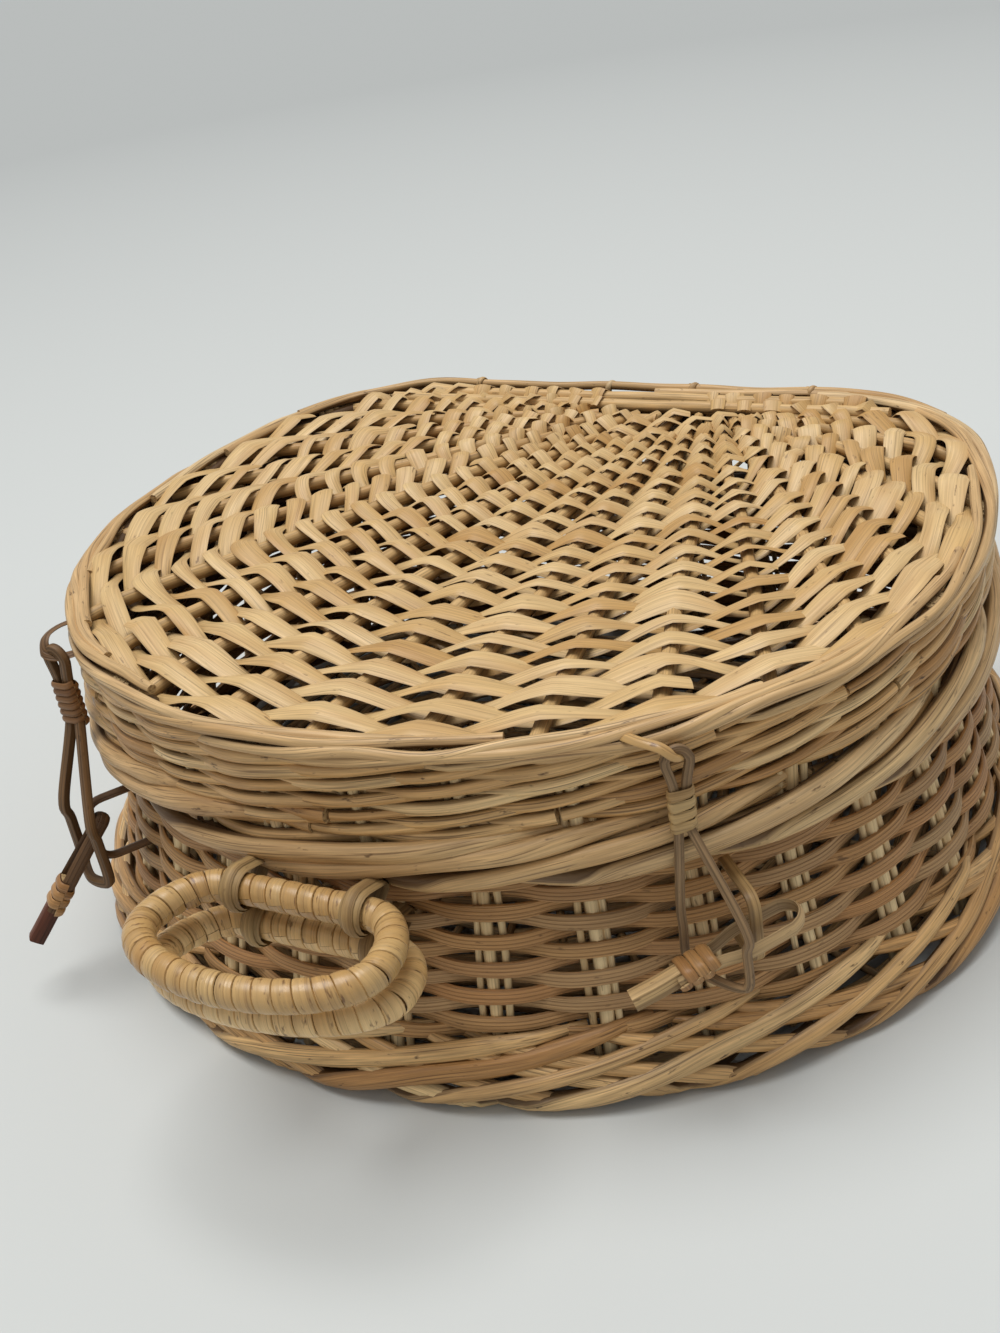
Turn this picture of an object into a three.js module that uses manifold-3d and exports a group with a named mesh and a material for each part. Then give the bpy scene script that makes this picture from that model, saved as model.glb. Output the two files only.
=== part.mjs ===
// A lidded wicker hamper: a D-shaped base, a hinged lid, two carrying handles and two peg closures.
// Millimetres, +Z up. The origin is the middle of the plan, on the surface that the hamper stands on.
// The hinge side is at +Y and the handles are at -Y.
import * as THREE from "three";
import { mergeVertices } from "three/addons/utils/BufferGeometryUtils.js";
import Module from "manifold-3d";

// Plan of the lid's top edge: arcs that meet tangentially. Angles are those of the outward normal.
const BACK_LENGTH = 204;
const BACK_DISTANCE = 163;
const CORNER_RADIUS = 93;
const SIDE_RADIUS = 283;
const SHOULDER_RADIUS = 184;
const CORNER_END_ANGLE = 22;
const SIDE_END_ANGLE = 0;
const SHOULDER_END_ANGLE = -55;

// Offsets outward from that plan ("out"), heights and thicknesses of the walls and borders.
const SEAT_GAP = 0.3;
const FLOOR_THICKNESS = 7;
const FOOT_HEIGHT = 26;
const FOOT_BOTTOM_OUT = 18;
const FOOT_TOP_OUT = 9;
const FOOT_ROUNDING = 4;
const BASE_HEIGHT = 104;
const BASE_WALL_THICKNESS = 6;
const BASE_WALL_FOOT_OUT = 5;
const BASE_WALL_RIM_OUT = -13;
const RIM_WIDTH = 12;
const RIM_HEIGHT = 10;
const LID_RISE = 57;
const LID_WALL_THICKNESS = 7;
const LID_WALL_LOW_OUT = -4;
const LID_WALL_TOP_OUT = -1.5;
const APRON_DROP = 6;
const APRON_HEIGHT = 20;
const APRON_OUT = 3;
const APRON_ROUNDING = 3;
const TOP_BORDER_WIDTH = 9.5;
const TOP_BORDER_HEIGHT = 8;
const TOP_BORDER_BEVEL = 2;
const PANEL_THICKNESS = 7;
const PANEL_DROP = 1.5;

// Bars that the lid's weave starts from, let into the panel.
const BAR_RADIUS = 3.5;
const BAR_DEPTH = 1.5;
const HUB_BAR_LENGTH = 44;
const HUB_BAR_SETBACK = 38;
const BACK_BAR_1_LENGTH = 240;
const BACK_BAR_1_SETBACK = 17;
const BACK_BAR_2_LENGTH = 276;
const BACK_BAR_2_SETBACK = 27;

// Relief of the woven faces. The base wall has groups of stakes and rows of weavers, and stays level for a reach
// and a rise about each seat. The lid's top has spokes that fan out from the hub bar's line, and rows of strips
// that cross them in circles about the hub. Half of the spokes start further out, at the by-spoke radius.
const STAKE_GROUPS = 30;
const WEAVER_ROWS = 12;
const STAKE_DEPTH = 1.9;
const BETWEEN_DEPTH = 3.4;
const LEVEL_REACH = 28;
const LEVEL_RISE = 10;
const SPOKES = 43;
const SPOKE_START_HALF = 100;
const SPOKE_END_OUT = -6;
const SPOKE_END_TURN = 45;
const BY_SPOKE_RADIUS = 60;
const BACK_LINES = 9;
const FIRST_ROW = 9;
const FIRST_PITCH = 5;
const PITCH_GROWTH = 0.02;
const ROW_TO_START = 3;
const ROW_TO_BORDER = 9;
const STRIP_CREST = 0.8;
const STRIP_DIP = 3.2;
const PAST_EDGE = 12;

// Hinge: the lid's straight back rod turns in two cane loops that also hold the base rim.
const HINGE_ROD_RADIUS = 5;
const HINGE_ROD_OUT = -1;
const HINGE_CLEARANCE = 0.4;
const LOOP_SPACING = 120;
const LOOP_WIDTH = 9;
const LOOP_THICKNESS = 2;
const NOTCH_CLEARANCE = 0.8;

// Handles: oval rings wound with flat cane. The inner run is straight and turns in two cane ties.
// A drop here and at the closures is measured down from the base's top edge, or the lid's for the eye.
const HANDLE_HALF_WIDTH = 51;
const HANDLE_STRAIGHT_HALF = 31;
const HANDLE_DEPTH = 54;
const HANDLE_CORE_RADIUS = 4.8;
const WRAP_CLEARANCE = 0.5;
const WRAP_THICKNESS = 1.2;
const WRAP_TURNS = 24;
const WRAP_SPACE = 1.1;
const UPPER_HANDLE_OUT = 14;
const UPPER_HANDLE_DROP = 6;
const UPPER_HANDLE_TILT = 2;
const LOWER_HANDLE_OUT = 8;
const LOWER_HANDLE_DROP = 28;
const LOWER_HANDLE_TILT = 9;
const TIE_SPACING = 54;
const TIE_WIDTH = 9;
const TIE_THICKNESS = 2;
const TIE_CLEARANCE = 0.5;
const TIE_TAIL_RADIUS = 3;
const TIE_TAIL_RISE = 8;

// Closures: a cane hasp hangs from an eye on the lid, and a peg on the base passes through it.
const EYE_DROP = 10;
const EYE_OUT = 8;
const EYE_HALF_WIDTH = 6.5;
const EYE_RADIUS = 1.6;
const EYE_BEND = 3.2;
const HASP_RADIUS = 1.9;
const HASP_EYE_CLEARANCE = 0.5;
const HASP_LENGTH = 93;
const NECK_TOP_DROP = 14;
const NECK_LENGTH = 17;
const NECK_HALF_SPACING = 2.4;
const HASP_SPREAD = 12;
const HASP_KNEE_RISE = 14;
const STAPLE_TURN = 6;
const STAPLE_DROP = 31;
const STAPLE_OUT = 17;
const STAPLE_HALF_HEIGHT = 15;
const STAPLE_RADIUS = 1.75;
const STAPLE_BEND = 5.2;
const STRIP_THICKNESS = 2;
const STRIP_WIDTH = 6.5;
const STRIP_THROAT = 6;
const STRIP_LENGTH = 52;
const PEG_WIDTH = 6.4;
const PEG_HEIGHT = 7;
const PEG_LENGTH = 34;
const PEG_LAP = 16;
const BINDING_THICKNESS = 1;
const BINDING_SPACE = 0.9;
const HASP_BINDING_TURNS = 4;
const PEG_BINDING_TURNS = 3;
const PEG_BINDING_LENGTH = 13;

// The two closures hang differently: the right peg lies along the wall, the left one points outward.
// Slip is how far the strip's fold lies past the staple, and the legs' places are along the peg.
const RIGHT_SLIP = 18;
const RIGHT_FRONT_LEG = 9;
const RIGHT_REAR_LEG = 24;
const LEFT_SLIP = 9.5;
const LEFT_FRONT_LEG = -1;
const LEFT_REAR_LEG = 9;
const CLOSURES = [
  {
    side: "right",
    mirror: 1,
    eyeAngle: -54,
    yaw: 0,
    droop: 15,
    slip: RIGHT_SLIP,
    frontLeg: RIGHT_FRONT_LEG,
    rearLeg: RIGHT_REAR_LEG,
  },
  {
    side: "left",
    mirror: -1,
    eyeAngle: -48.5,
    yaw: 78,
    droop: 50,
    slip: LEFT_SLIP,
    frontLeg: LEFT_FRONT_LEG,
    rearLeg: LEFT_REAR_LEG,
  },
];

// Facets: steps along each arc of the plan, then sides and steps of rods, bands and windings.
const FRONT_STEPS = 6;
const SHOULDER_STEPS = 8;
const SIDE_STEPS = 3;
const CORNER_STEPS = 8;
const ROUND_SIDES = 8;
const RIM_SIDES = 10;
const STRAIGHT_ROD_SIDES = 16;
const BELT_STEPS = 10;
const HANDLE_STEPS = 72;
const ROD_BEND_STEPS = 4;
const HALF_TURN_STEPS = 6;
const STRIP_BEND_STEPS = 8;
const WINDING_STEPS = 10;

// A flat-sided turn: its corners are cut by this spread, and at this scale it clears a square bundle.
const BOX_TURN_SPREAD = 1.35;
const BOX_TURN_SCALE = 1.2;

// Slope of a rod, as the sine, past which it counts as upright.
const UPRIGHT = 0.9;

const wasm = await Module();
wasm.setup();

const WILLOW = { color: 0xc9a66b, roughness: 0.6, metalness: 0 };
const WEAVER = { color: 0xa98458, roughness: 0.65, metalness: 0 };
const CANE = { color: 0xdcb878, roughness: 0.45, metalness: 0 };
const BROWN_CANE = { color: 0x8a6a48, roughness: 0.6, metalness: 0 };
const BARK = { color: 0x6d4029, roughness: 0.7, metalness: 0 };

const basket = new THREE.Group();

function add(name, geometry, finish) {
  const mesh = new THREE.Mesh(geometry, new THREE.MeshStandardMaterial(finish));
  mesh.name = name;
  basket.add(mesh);
  return mesh;
}

// Plan

const direction = (degrees) => {
  const angle = THREE.MathUtils.degToRad(degrees);
  return new THREE.Vector2(Math.cos(angle), Math.sin(angle));
};

function planArcs() {
  const corner = new THREE.Vector2(BACK_LENGTH / 2, BACK_DISTANCE - CORNER_RADIUS);
  const side = corner.clone().addScaledVector(direction(CORNER_END_ANGLE), CORNER_RADIUS - SIDE_RADIUS);
  const shoulder = side.clone().addScaledVector(direction(SIDE_END_ANGLE), SIDE_RADIUS - SHOULDER_RADIUS);
  const frontRadius = SHOULDER_RADIUS + shoulder.x / direction(SHOULDER_END_ANGLE).x;
  const front = shoulder.clone()
    .addScaledVector(direction(SHOULDER_END_ANGLE), SHOULDER_RADIUS - frontRadius);
  return [
    { centre: front, radius: frontRadius, from: -90, to: SHOULDER_END_ANGLE, steps: FRONT_STEPS },
    {
      centre: shoulder,
      radius: SHOULDER_RADIUS,
      from: SHOULDER_END_ANGLE,
      to: SIDE_END_ANGLE,
      steps: SHOULDER_STEPS,
    },
    { centre: side, radius: SIDE_RADIUS, from: SIDE_END_ANGLE, to: CORNER_END_ANGLE, steps: SIDE_STEPS },
    { centre: corner, radius: CORNER_RADIUS, from: CORNER_END_ANGLE, to: 90, steps: CORNER_STEPS },
  ];
}

const ARCS = planArcs();

function planPoint(angle, out) {
  const arc = ARCS.find((candidate) => angle <= candidate.to);
  return arc.centre.clone().addScaledVector(direction(angle), arc.radius + out);
}

function planAngles() {
  const angles = [-90];
  for (const arc of ARCS) {
    for (let step = 1; step <= arc.steps; step += 1) {
      angles.push(arc.from + ((arc.to - arc.from) * step) / arc.steps);
    }
  }
  return angles;
}

const ANGLES = planAngles();

// Counter-clockwise loop from the front middle; the gap from its corner ends is the straight back.
function planLoop(out) {
  const right = ANGLES.map((angle) => planPoint(angle, out));
  const left = right.slice(1).reverse().map((point) => new THREE.Vector2(-point.x, point.y));
  return [...right, ...left];
}

// The same loop opened along the straight back, from the left corner round the front to the right one.
function openLoop(out) {
  const loop = planLoop(out);
  return [...loop.slice(ANGLES.length), ...loop.slice(0, ANGLES.length)];
}

const frontY = (x, out) => {
  const { centre, radius } = ARCS[0];
  return centre.y - Math.sqrt((radius + out) ** 2 - x ** 2);
};
const backY = (out) => BACK_DISTANCE + out;

// Distances along the plan's edge from the middle of the front, negative on the left.
function edgeDistance(angle) {
  return ARCS.reduce((sum, arc) => {
    const turned = THREE.MathUtils.clamp(angle, arc.from, arc.to) - arc.from;
    return sum + arc.radius * THREE.MathUtils.degToRad(turned);
  }, 0);
}

const backStart = edgeDistance(90);
const halfEdge = backStart + BACK_LENGTH / 2;

function planAlong(distance, out) {
  const wrapped = distance > halfEdge ? distance - 2 * halfEdge : distance;
  const side = Math.sign(wrapped);
  let rest = Math.abs(wrapped);
  for (const arc of ARCS) {
    const length = arc.radius * THREE.MathUtils.degToRad(arc.to - arc.from);
    if (rest <= length) {
      const angle = arc.from + THREE.MathUtils.radToDeg(rest / arc.radius);
      const point = planPoint(Math.min(angle, arc.to), out);
      return new THREE.Vector2(side * point.x, point.y);
    }
    rest -= length;
  }
  return new THREE.Vector2(side * (BACK_LENGTH / 2 - rest), backY(out));
}

// Geometry helpers

function indexed(points, triangles) {
  const geometry = new THREE.BufferGeometry();
  geometry.setAttribute("position", new THREE.Float32BufferAttribute(points.flatMap((p) => p.toArray()), 3));
  geometry.setIndex(triangles.flat());
  geometry.computeVertexNormals();
  return geometry;
}

// Rows of section points joined into one closed skin; a row order that loops has no end caps.
function skin(rows, loops) {
  const count = rows[0].length;
  const triangles = [];
  const last = loops ? rows.length : rows.length - 1;
  for (let row = 0; row < last; row += 1) {
    const next = (row + 1) % rows.length;
    for (let corner = 0; corner < count; corner += 1) {
      const after = (corner + 1) % count;
      const [a, b] = [row * count + corner, next * count + corner];
      const [c, d] = [next * count + after, row * count + after];
      triangles.push([a, b, c], [a, c, d]);
    }
  }
  if (!loops) {
    const end = (rows.length - 1) * count;
    for (let corner = 1; corner < count - 1; corner += 1) {
      triangles.push([0, corner, corner + 1], [end, end + corner + 1, end + corner]);
    }
  }
  return indexed(rows.flat(), triangles);
}

// A section of [out, height] corners, counter-clockwise, carried round the plan.
function ring(section, loop = planLoop, loops = true) {
  const paths = section.map(([out]) => loop(out));
  const rows = paths[0].map((_, step) => section.map(
    ([, height], corner) => new THREE.Vector3(paths[corner][step].x, paths[corner][step].y, height),
  ));
  return skin(rows, loops);
}

function plate(out, bottom, thickness) {
  const shape = new THREE.Shape(planLoop(out));
  return new THREE.ExtrudeGeometry(shape, { depth: thickness, bevelEnabled: false }).translate(0, 0, bottom);
}

function solid(geometry) {
  const bare = geometry.clone();
  bare.deleteAttribute("normal");
  bare.deleteAttribute("uv");
  const merged = mergeVertices(bare, 1e-4);
  return new wasm.Manifold(new wasm.Mesh({
    numProp: 3,
    vertProperties: new Float32Array(merged.attributes.position.array),
    triVerts: new Uint32Array(merged.index.array),
  }));
}

function cut(geometry, cutters) {
  return meshed(cutters.reduce((left, cutter) => left.subtract(solid(cutter)), solid(geometry)));
}

function meshed(body) {
  const mesh = body.getMesh();
  const result = new THREE.BufferGeometry();
  result.setAttribute("position", new THREE.BufferAttribute(mesh.vertProperties.slice(), 3));
  result.setIndex(Array.from(mesh.triVerts));
  result.computeVertexNormals();
  return result;
}

function circle(radius, sides = ROUND_SIDES) {
  const points = [];
  for (let side = 0; side < sides; side += 1) {
    points.push(direction((360 * (side + 0.5)) / sides).multiplyScalar(radius / Math.cos(Math.PI / sides)));
  }
  return points;
}

// A rod along X
function crossRod(length, radius) {
  return new THREE.CylinderGeometry(radius, radius, length, STRAIGHT_ROD_SIDES).rotateZ(Math.PI / 2);
}

// Outline of a belt pulled round two circles in the plane of Y and Z, as 2-D points.
function belt(first, firstRadius, second, secondRadius) {
  const line = second.clone().sub(first);
  const lean = Math.acos((firstRadius - secondRadius) / line.length());
  const heading = line.angle();
  const points = [];
  for (let step = 0; step <= BELT_STEPS; step += 1) {
    const angle = heading + lean + ((2 * Math.PI - 2 * lean) * step) / BELT_STEPS;
    points.push(new THREE.Vector2(Math.cos(angle), Math.sin(angle)).multiplyScalar(firstRadius).add(first));
  }
  for (let step = 0; step <= BELT_STEPS; step += 1) {
    const angle = heading - lean + (2 * lean * step) / BELT_STEPS;
    points.push(new THREE.Vector2(Math.cos(angle), Math.sin(angle)).multiplyScalar(secondRadius).add(second));
  }
  return points;
}

// A band of the given width along X, from a Y-Z outline with a hole.
function crossBand(outline, hole, width) {
  const shape = new THREE.Shape(outline);
  shape.holes.push(new THREE.Path(hole));
  const geometry = new THREE.ExtrudeGeometry(shape, { depth: width, bevelEnabled: false });
  geometry.translate(0, 0, -width / 2);
  const axes = new THREE.Matrix4().makeBasis(
    new THREE.Vector3(0, 1, 0),
    new THREE.Vector3(0, 0, 1),
    new THREE.Vector3(1, 0, 0),
  );
  return geometry.applyMatrix4(axes);
}

// Unit outlines of one turn: round, with its facets outside the circle, and flat-sided.
const turnFacet = 1 / Math.cos(Math.PI / WINDING_STEPS);
const roundTurn = (angle) => [Math.cos(angle) * turnFacet, Math.sin(angle) * turnFacet];
const boxTurn = (angle) => [Math.cos(angle), Math.sin(angle)]
  .map((share) => THREE.MathUtils.clamp(share * BOX_TURN_SPREAD, -1, 1));

// A flat strip wound round a core: frameAt gives the core's middle and its two cross directions.
function winding(name, frameAt, length, turns, turnAt, halfSide, halfUp, thickness, space) {
  const pitch = (length + space) / turns;
  const halfWidth = (pitch - space) / 2;
  const steps = (turns - 1) * WINDING_STEPS;
  const rows = [];
  for (let step = 0; step <= steps; step += 1) {
    const [sideShare, upShare] = turnAt((2 * Math.PI * step) / WINDING_STEPS);
    const corners = [[-1, 0], [-1, 1], [0, 1], [1, 1], [1, 0], [0, 0]];
    rows.push(corners.map(([edge, layer]) => {
      const frame = frameAt((pitch * step) / WINDING_STEPS + (1 + edge) * halfWidth);
      return frame.middle.clone()
        .addScaledVector(frame.side, (halfSide + layer * thickness) * sideShare)
        .addScaledVector(frame.up, (halfUp + layer * thickness) * upShare);
    }));
  }
  let gap = Infinity;
  for (let row = 0; row < rows.length; row += 1) {
    for (let other = row + WINDING_STEPS / 2; other < rows.length; other += 1) {
      for (const point of rows[row]) {
        for (const facing of rows[other]) gap = Math.min(gap, point.distanceTo(facing));
      }
    }
  }
  console.log(`${name}: least gap between turns ${gap.toFixed(2)} mm`);
  return skin(rows, false);
}

// Base

const wallInnerFoot = BASE_WALL_FOOT_OUT - BASE_WALL_THICKNESS;
const rimBottom = BASE_HEIGHT - RIM_HEIGHT;
const rimMiddle = BASE_HEIGHT - RIM_HEIGHT / 2;
const baseWallOut = (height) => THREE.MathUtils.mapLinear(
  height, FOOT_HEIGHT, rimBottom, BASE_WALL_FOOT_OUT, BASE_WALL_RIM_OUT,
);

add("base_floor", plate(wallInnerFoot - SEAT_GAP, 0, FLOOR_THICKNESS), WILLOW);

add("base_foot", ring([
  [wallInnerFoot, 0],
  [FOOT_BOTTOM_OUT - FOOT_ROUNDING / 2, 0],
  [FOOT_BOTTOM_OUT, FOOT_ROUNDING],
  [FOOT_BOTTOM_OUT - FOOT_ROUNDING / 2, FOOT_HEIGHT / 2],
  [FOOT_TOP_OUT, FOOT_HEIGHT],
  [wallInnerFoot, FOOT_HEIGHT],
]), WILLOW);

// Hinge places, in the plane of Y and Z

const hingeAxis = new THREE.Vector2(backY(HINGE_ROD_OUT), rimMiddle);
const rimBack = new THREE.Vector2(backY(BASE_WALL_RIM_OUT), rimMiddle);
const loopAtRod = HINGE_ROD_RADIUS + HINGE_CLEARANCE;
const loopAtRim = Math.max(RIM_WIDTH, RIM_HEIGHT) / 2 + HINGE_CLEARANCE;
const loopInside = belt(hingeAxis, loopAtRod, rimBack, loopAtRim);
const loopOutside = belt(hingeAxis, loopAtRod + LOOP_THICKNESS, rimBack, loopAtRim + LOOP_THICKNESS);
const loopPlaces = [["left", -LOOP_SPACING / 2], ["right", LOOP_SPACING / 2]];

// Space that a loop needs in the walls above and below the rods.
function loopNotch(x) {
  const reach = loopAtRod + LOOP_THICKNESS + NOTCH_CLEARANCE;
  const rimReach = loopAtRim + LOOP_THICKNESS + NOTCH_CLEARANCE;
  const width = LOOP_WIDTH + 2 * NOTCH_CLEARANCE;
  const top = Math.max(reach + LOOP_THICKNESS, rimReach);
  const from = rimBack.x - rimReach;
  const to = hingeAxis.x + reach;
  return new THREE.BoxGeometry(width, to - from, top + rimReach)
    .translate(x, (from + to) / 2, rimMiddle + (top - rimReach) / 2);
}

const notches = loopPlaces.map(([, x]) => loopNotch(x));

const baseWallBottom = FOOT_HEIGHT + SEAT_GAP;
const baseWallTop = rimBottom - SEAT_GAP;

// Seats of the lower handle's ties and of the staples, as distance along the edge and height.
function wallSeats() {
  const tieAngle = -90 + THREE.MathUtils.radToDeg(Math.asin(TIE_SPACING / 2 / ARCS[0].radius));
  const tieHeight = BASE_HEIGHT - LOWER_HANDLE_DROP + TIE_TAIL_RISE;
  const seats = [-1, 1].map((side) => [side * edgeDistance(tieAngle), tieHeight]);
  for (const closure of CLOSURES) {
    const distance = closure.mirror * edgeDistance(closure.eyeAngle + closure.mirror * STAPLE_TURN);
    for (const rise of [-STAPLE_HALF_HEIGHT, STAPLE_HALF_HEIGHT]) {
      seats.push([distance, BASE_HEIGHT - STAPLE_DROP + rise]);
    }
  }
  return seats;
}

const seats = wallSeats();

// How far the outer face lies back where a row of weavers passes a group of stakes, or between two groups.
function weaverDepth(step, row, distance, height) {
  const level = seats.some(([along, rise]) => Math.abs(distance - along) < LEVEL_REACH
    && Math.abs(height - rise) < LEVEL_RISE);
  if (level) return 0;
  if (step % 2 === 0) return BETWEEN_DEPTH;
  const group = (step - 1) / 2;
  return (group + row) % 2 === 0 ? 0 : STAKE_DEPTH;
}

function wovenWall() {
  const pitch = (baseWallTop - baseWallBottom) / WEAVER_ROWS;
  const steps = 2 * STAKE_GROUPS;
  const rows = [];
  for (let step = 0; step < steps; step += 1) {
    const around = (2 * halfEdge * step) / steps;
    const distance = around > halfEdge ? around - 2 * halfEdge : around;
    const at = (height, depth) => {
      const point = planAlong(distance, baseWallOut(height) - depth);
      return new THREE.Vector3(point.x, point.y, height);
    };
    const section = [at(baseWallBottom, BASE_WALL_THICKNESS), at(baseWallBottom, 0)];
    for (let row = 0; row < WEAVER_ROWS; row += 1) {
      const height = baseWallBottom + pitch * (row + 0.5);
      section.push(at(height, weaverDepth(step, row, distance, height)));
    }
    section.push(at(baseWallTop, 0), at(baseWallTop, BASE_WALL_THICKNESS));
    rows.push(section);
  }
  return skin(rows, true);
}

add("base_wall", cut(wovenWall(), notches), WEAVER);

const rimSection = circle(1, RIM_SIDES).map((point) => [
  BASE_WALL_RIM_OUT + ((point.x * RIM_WIDTH) / 2) * Math.cos(Math.PI / RIM_SIDES),
  rimMiddle + (point.y * RIM_HEIGHT) / 2,
]);
add("base_rim", ring(rimSection), WILLOW);

for (const [side, x] of loopPlaces) {
  add(`hinge_loop_${side}`, crossBand(loopOutside, loopInside, LOOP_WIDTH).translate(x, 0, 0), BROWN_CANE);
}

// Lid

const lidTop = BASE_HEIGHT + LID_RISE;
const lidWallBottom = BASE_HEIGHT + SEAT_GAP;
const lidWallTop = lidTop - TOP_BORDER_HEIGHT - SEAT_GAP;
const lidWallOut = (height) => THREE.MathUtils.mapLinear(
  height, lidWallBottom, lidWallTop, LID_WALL_LOW_OUT, LID_WALL_TOP_OUT,
);
add("lid_wall", cut(ring([
  [LID_WALL_LOW_OUT - LID_WALL_THICKNESS, lidWallBottom],
  [LID_WALL_LOW_OUT, lidWallBottom],
  [LID_WALL_TOP_OUT, lidWallTop],
  [LID_WALL_TOP_OUT - LID_WALL_THICKNESS, lidWallTop],
]), notches), WILLOW);

const apronBottom = BASE_HEIGHT - APRON_DROP;
const apronTop = apronBottom + APRON_HEIGHT;
add("lid_lower_border", ring([
  [lidWallOut(lidWallBottom) + SEAT_GAP, apronBottom],
  [APRON_OUT - APRON_ROUNDING, apronBottom],
  [APRON_OUT, apronBottom + APRON_ROUNDING],
  [APRON_OUT, apronTop - APRON_ROUNDING],
  [APRON_OUT - APRON_ROUNDING, apronTop],
  [lidWallOut(apronTop) + SEAT_GAP, apronTop],
], openLoop, false), WILLOW);

add("lid_hinge_rod", crossRod(BACK_LENGTH - 2 * SEAT_GAP, HINGE_ROD_RADIUS)
  .translate(0, hingeAxis.x, hingeAxis.y), WILLOW);

const topBorderBottom = lidTop - TOP_BORDER_HEIGHT;
add("lid_top_border", ring([
  [-TOP_BORDER_WIDTH, topBorderBottom],
  [-TOP_BORDER_BEVEL, topBorderBottom],
  [0, topBorderBottom + TOP_BORDER_BEVEL],
  [0, lidTop - TOP_BORDER_BEVEL],
  [-TOP_BORDER_BEVEL, lidTop],
  [-TOP_BORDER_WIDTH, lidTop],
]), WILLOW);

const panelTop = lidTop - PANEL_DROP;
const bars = [
  { name: "lid_hub_bar", length: HUB_BAR_LENGTH, setback: HUB_BAR_SETBACK },
  { name: "lid_back_bar_1", length: BACK_BAR_1_LENGTH, setback: BACK_BAR_1_SETBACK },
  { name: "lid_back_bar_2", length: BACK_BAR_2_LENGTH, setback: BACK_BAR_2_SETBACK },
];
const barRod = (bar, clearance) => crossRod(bar.length + 2 * clearance, BAR_RADIUS + clearance)
  .translate(0, BACK_DISTANCE - bar.setback, panelTop - BAR_DEPTH);

// Radii of the strips' rows about the hub.
function stripRows() {
  const rows = [];
  let radius = FIRST_ROW;
  while (radius < 2 * BACK_DISTANCE) {
    rows.push(radius);
    radius += FIRST_PITCH + PITCH_GROWTH * radius;
  }
  return rows;
}

// A strip passes over every other spoke that it meets.
function stripHeight(spoke, row, radius) {
  const order = radius < BY_SPOKE_RADIUS ? spoke / 2 : spoke;
  return (order + row) % 2 === 0 ? panelTop + STRIP_CREST : panelTop - STRIP_DIP;
}

// Places along one spoke where rows cross it, from its start towards its end, and one place past the edge.
function spokeLine(spoke, rows, hub, span) {
  const turn = (2 * spoke) / (SPOKES - 1) - 1;
  const start = new THREE.Vector2(SPOKE_START_HALF * turn, hub.y);
  const reach = planAlong(span * turn, SPOKE_END_OUT).sub(start);
  const length = reach.length();
  const heading = reach.divideScalar(length);
  const first = spoke % 2 === 0 ? 0 : BY_SPOKE_RADIUS;
  const slope = heading.x * start.x;
  const place = (distance, height) => {
    const point = start.clone().addScaledVector(heading, distance);
    return new THREE.Vector3(point.x, point.y, height);
  };
  const crossings = [];
  rows.forEach((radius, row) => {
    if (radius < first || radius < Math.abs(start.x)) return;
    const distance = Math.sqrt(slope ** 2 + radius ** 2 - start.x ** 2) - slope;
    if (distance < ROW_TO_START || distance > length - ROW_TO_BORDER) return;
    crossings.push({ row, point: place(distance, stripHeight(spoke, row, radius)) });
  });
  return { crossings, edge: place(length + PAST_EDGE, panelTop) };
}

// A level line over the back, between the last spoke and the first.
function backLine(share, hub, span) {
  const start = new THREE.Vector2(SPOKE_START_HALF * (1 - 2 * share), hub.y + FIRST_ROW);
  const end = planAlong(span + 2 * (halfEdge - span) * share, SPOKE_END_OUT + PAST_EDGE);
  return {
    crossings: [{ row: 0, point: new THREE.Vector3(start.x, start.y, panelTop) }],
    edge: new THREE.Vector3(end.x, end.y, panelTop),
  };
}

// Triangles between two neighbouring lines of numbered crossings, from the hub to the edge.
function between(near, far, hubIndex) {
  const triangles = [[hubIndex, near.at[0], far.at[0]]];
  let [a, b] = [0, 0];
  while (a < near.at.length - 1 || b < far.at.length - 1) {
    const nearNext = near.rows[a + 1] ?? Infinity;
    const farNext = far.rows[b + 1] ?? Infinity;
    if (nearNext <= farNext) {
      triangles.push([near.at[a], near.at[a + 1], far.at[b]]);
      a += 1;
    } else {
      triangles.push([near.at[a], far.at[b + 1], far.at[b]]);
      b += 1;
    }
  }
  triangles.push([near.at[a], near.edge, far.edge], [near.at[a], far.edge, far.at[b]]);
  triangles.push([near.low, far.low, far.edge], [near.low, far.edge, near.edge]);
  triangles.push([hubIndex + 1, far.low, near.low]);
  return triangles;
}

// A closed block with the weave's relief on top, wider and deeper than the panel.
function wovenBlock() {
  const hub = new THREE.Vector3(0, BACK_DISTANCE - HUB_BAR_SETBACK, panelTop);
  const bottom = panelTop - 2 * PANEL_THICKNESS;
  const span = backStart - CORNER_RADIUS * THREE.MathUtils.degToRad(SPOKE_END_TURN);
  const rows = stripRows();
  const lines = [];
  for (let spoke = 0; spoke < SPOKES; spoke += 1) lines.push(spokeLine(spoke, rows, hub, span));
  for (let step = 1; step <= BACK_LINES; step += 1) lines.push(backLine(step / (BACK_LINES + 1), hub, span));
  const points = [hub, hub.clone().setZ(bottom)];
  const indices = lines.map(({ crossings, edge }) => ({
    rows: crossings.map(({ row }) => row),
    at: crossings.map(({ point }) => points.push(point) - 1),
    edge: points.push(edge) - 1,
    low: points.push(edge.clone().setZ(bottom)) - 1,
  }));
  const triangles = indices.flatMap((near, index) => between(near, indices[(index + 1) % indices.length], 0));
  return indexed(points, triangles);
}

const panelOutline = plate(
  -TOP_BORDER_WIDTH - SEAT_GAP, panelTop - PANEL_THICKNESS, PANEL_THICKNESS + 2 * STRIP_CREST,
);
const panel = meshed(solid(panelOutline).intersect(solid(wovenBlock())));
add("lid_panel", cut(panel, bars.map((bar) => barRod(bar, SEAT_GAP))), CANE);
for (const bar of bars) add(bar.name, barRod(bar, 0), WILLOW);

// Handles

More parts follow.
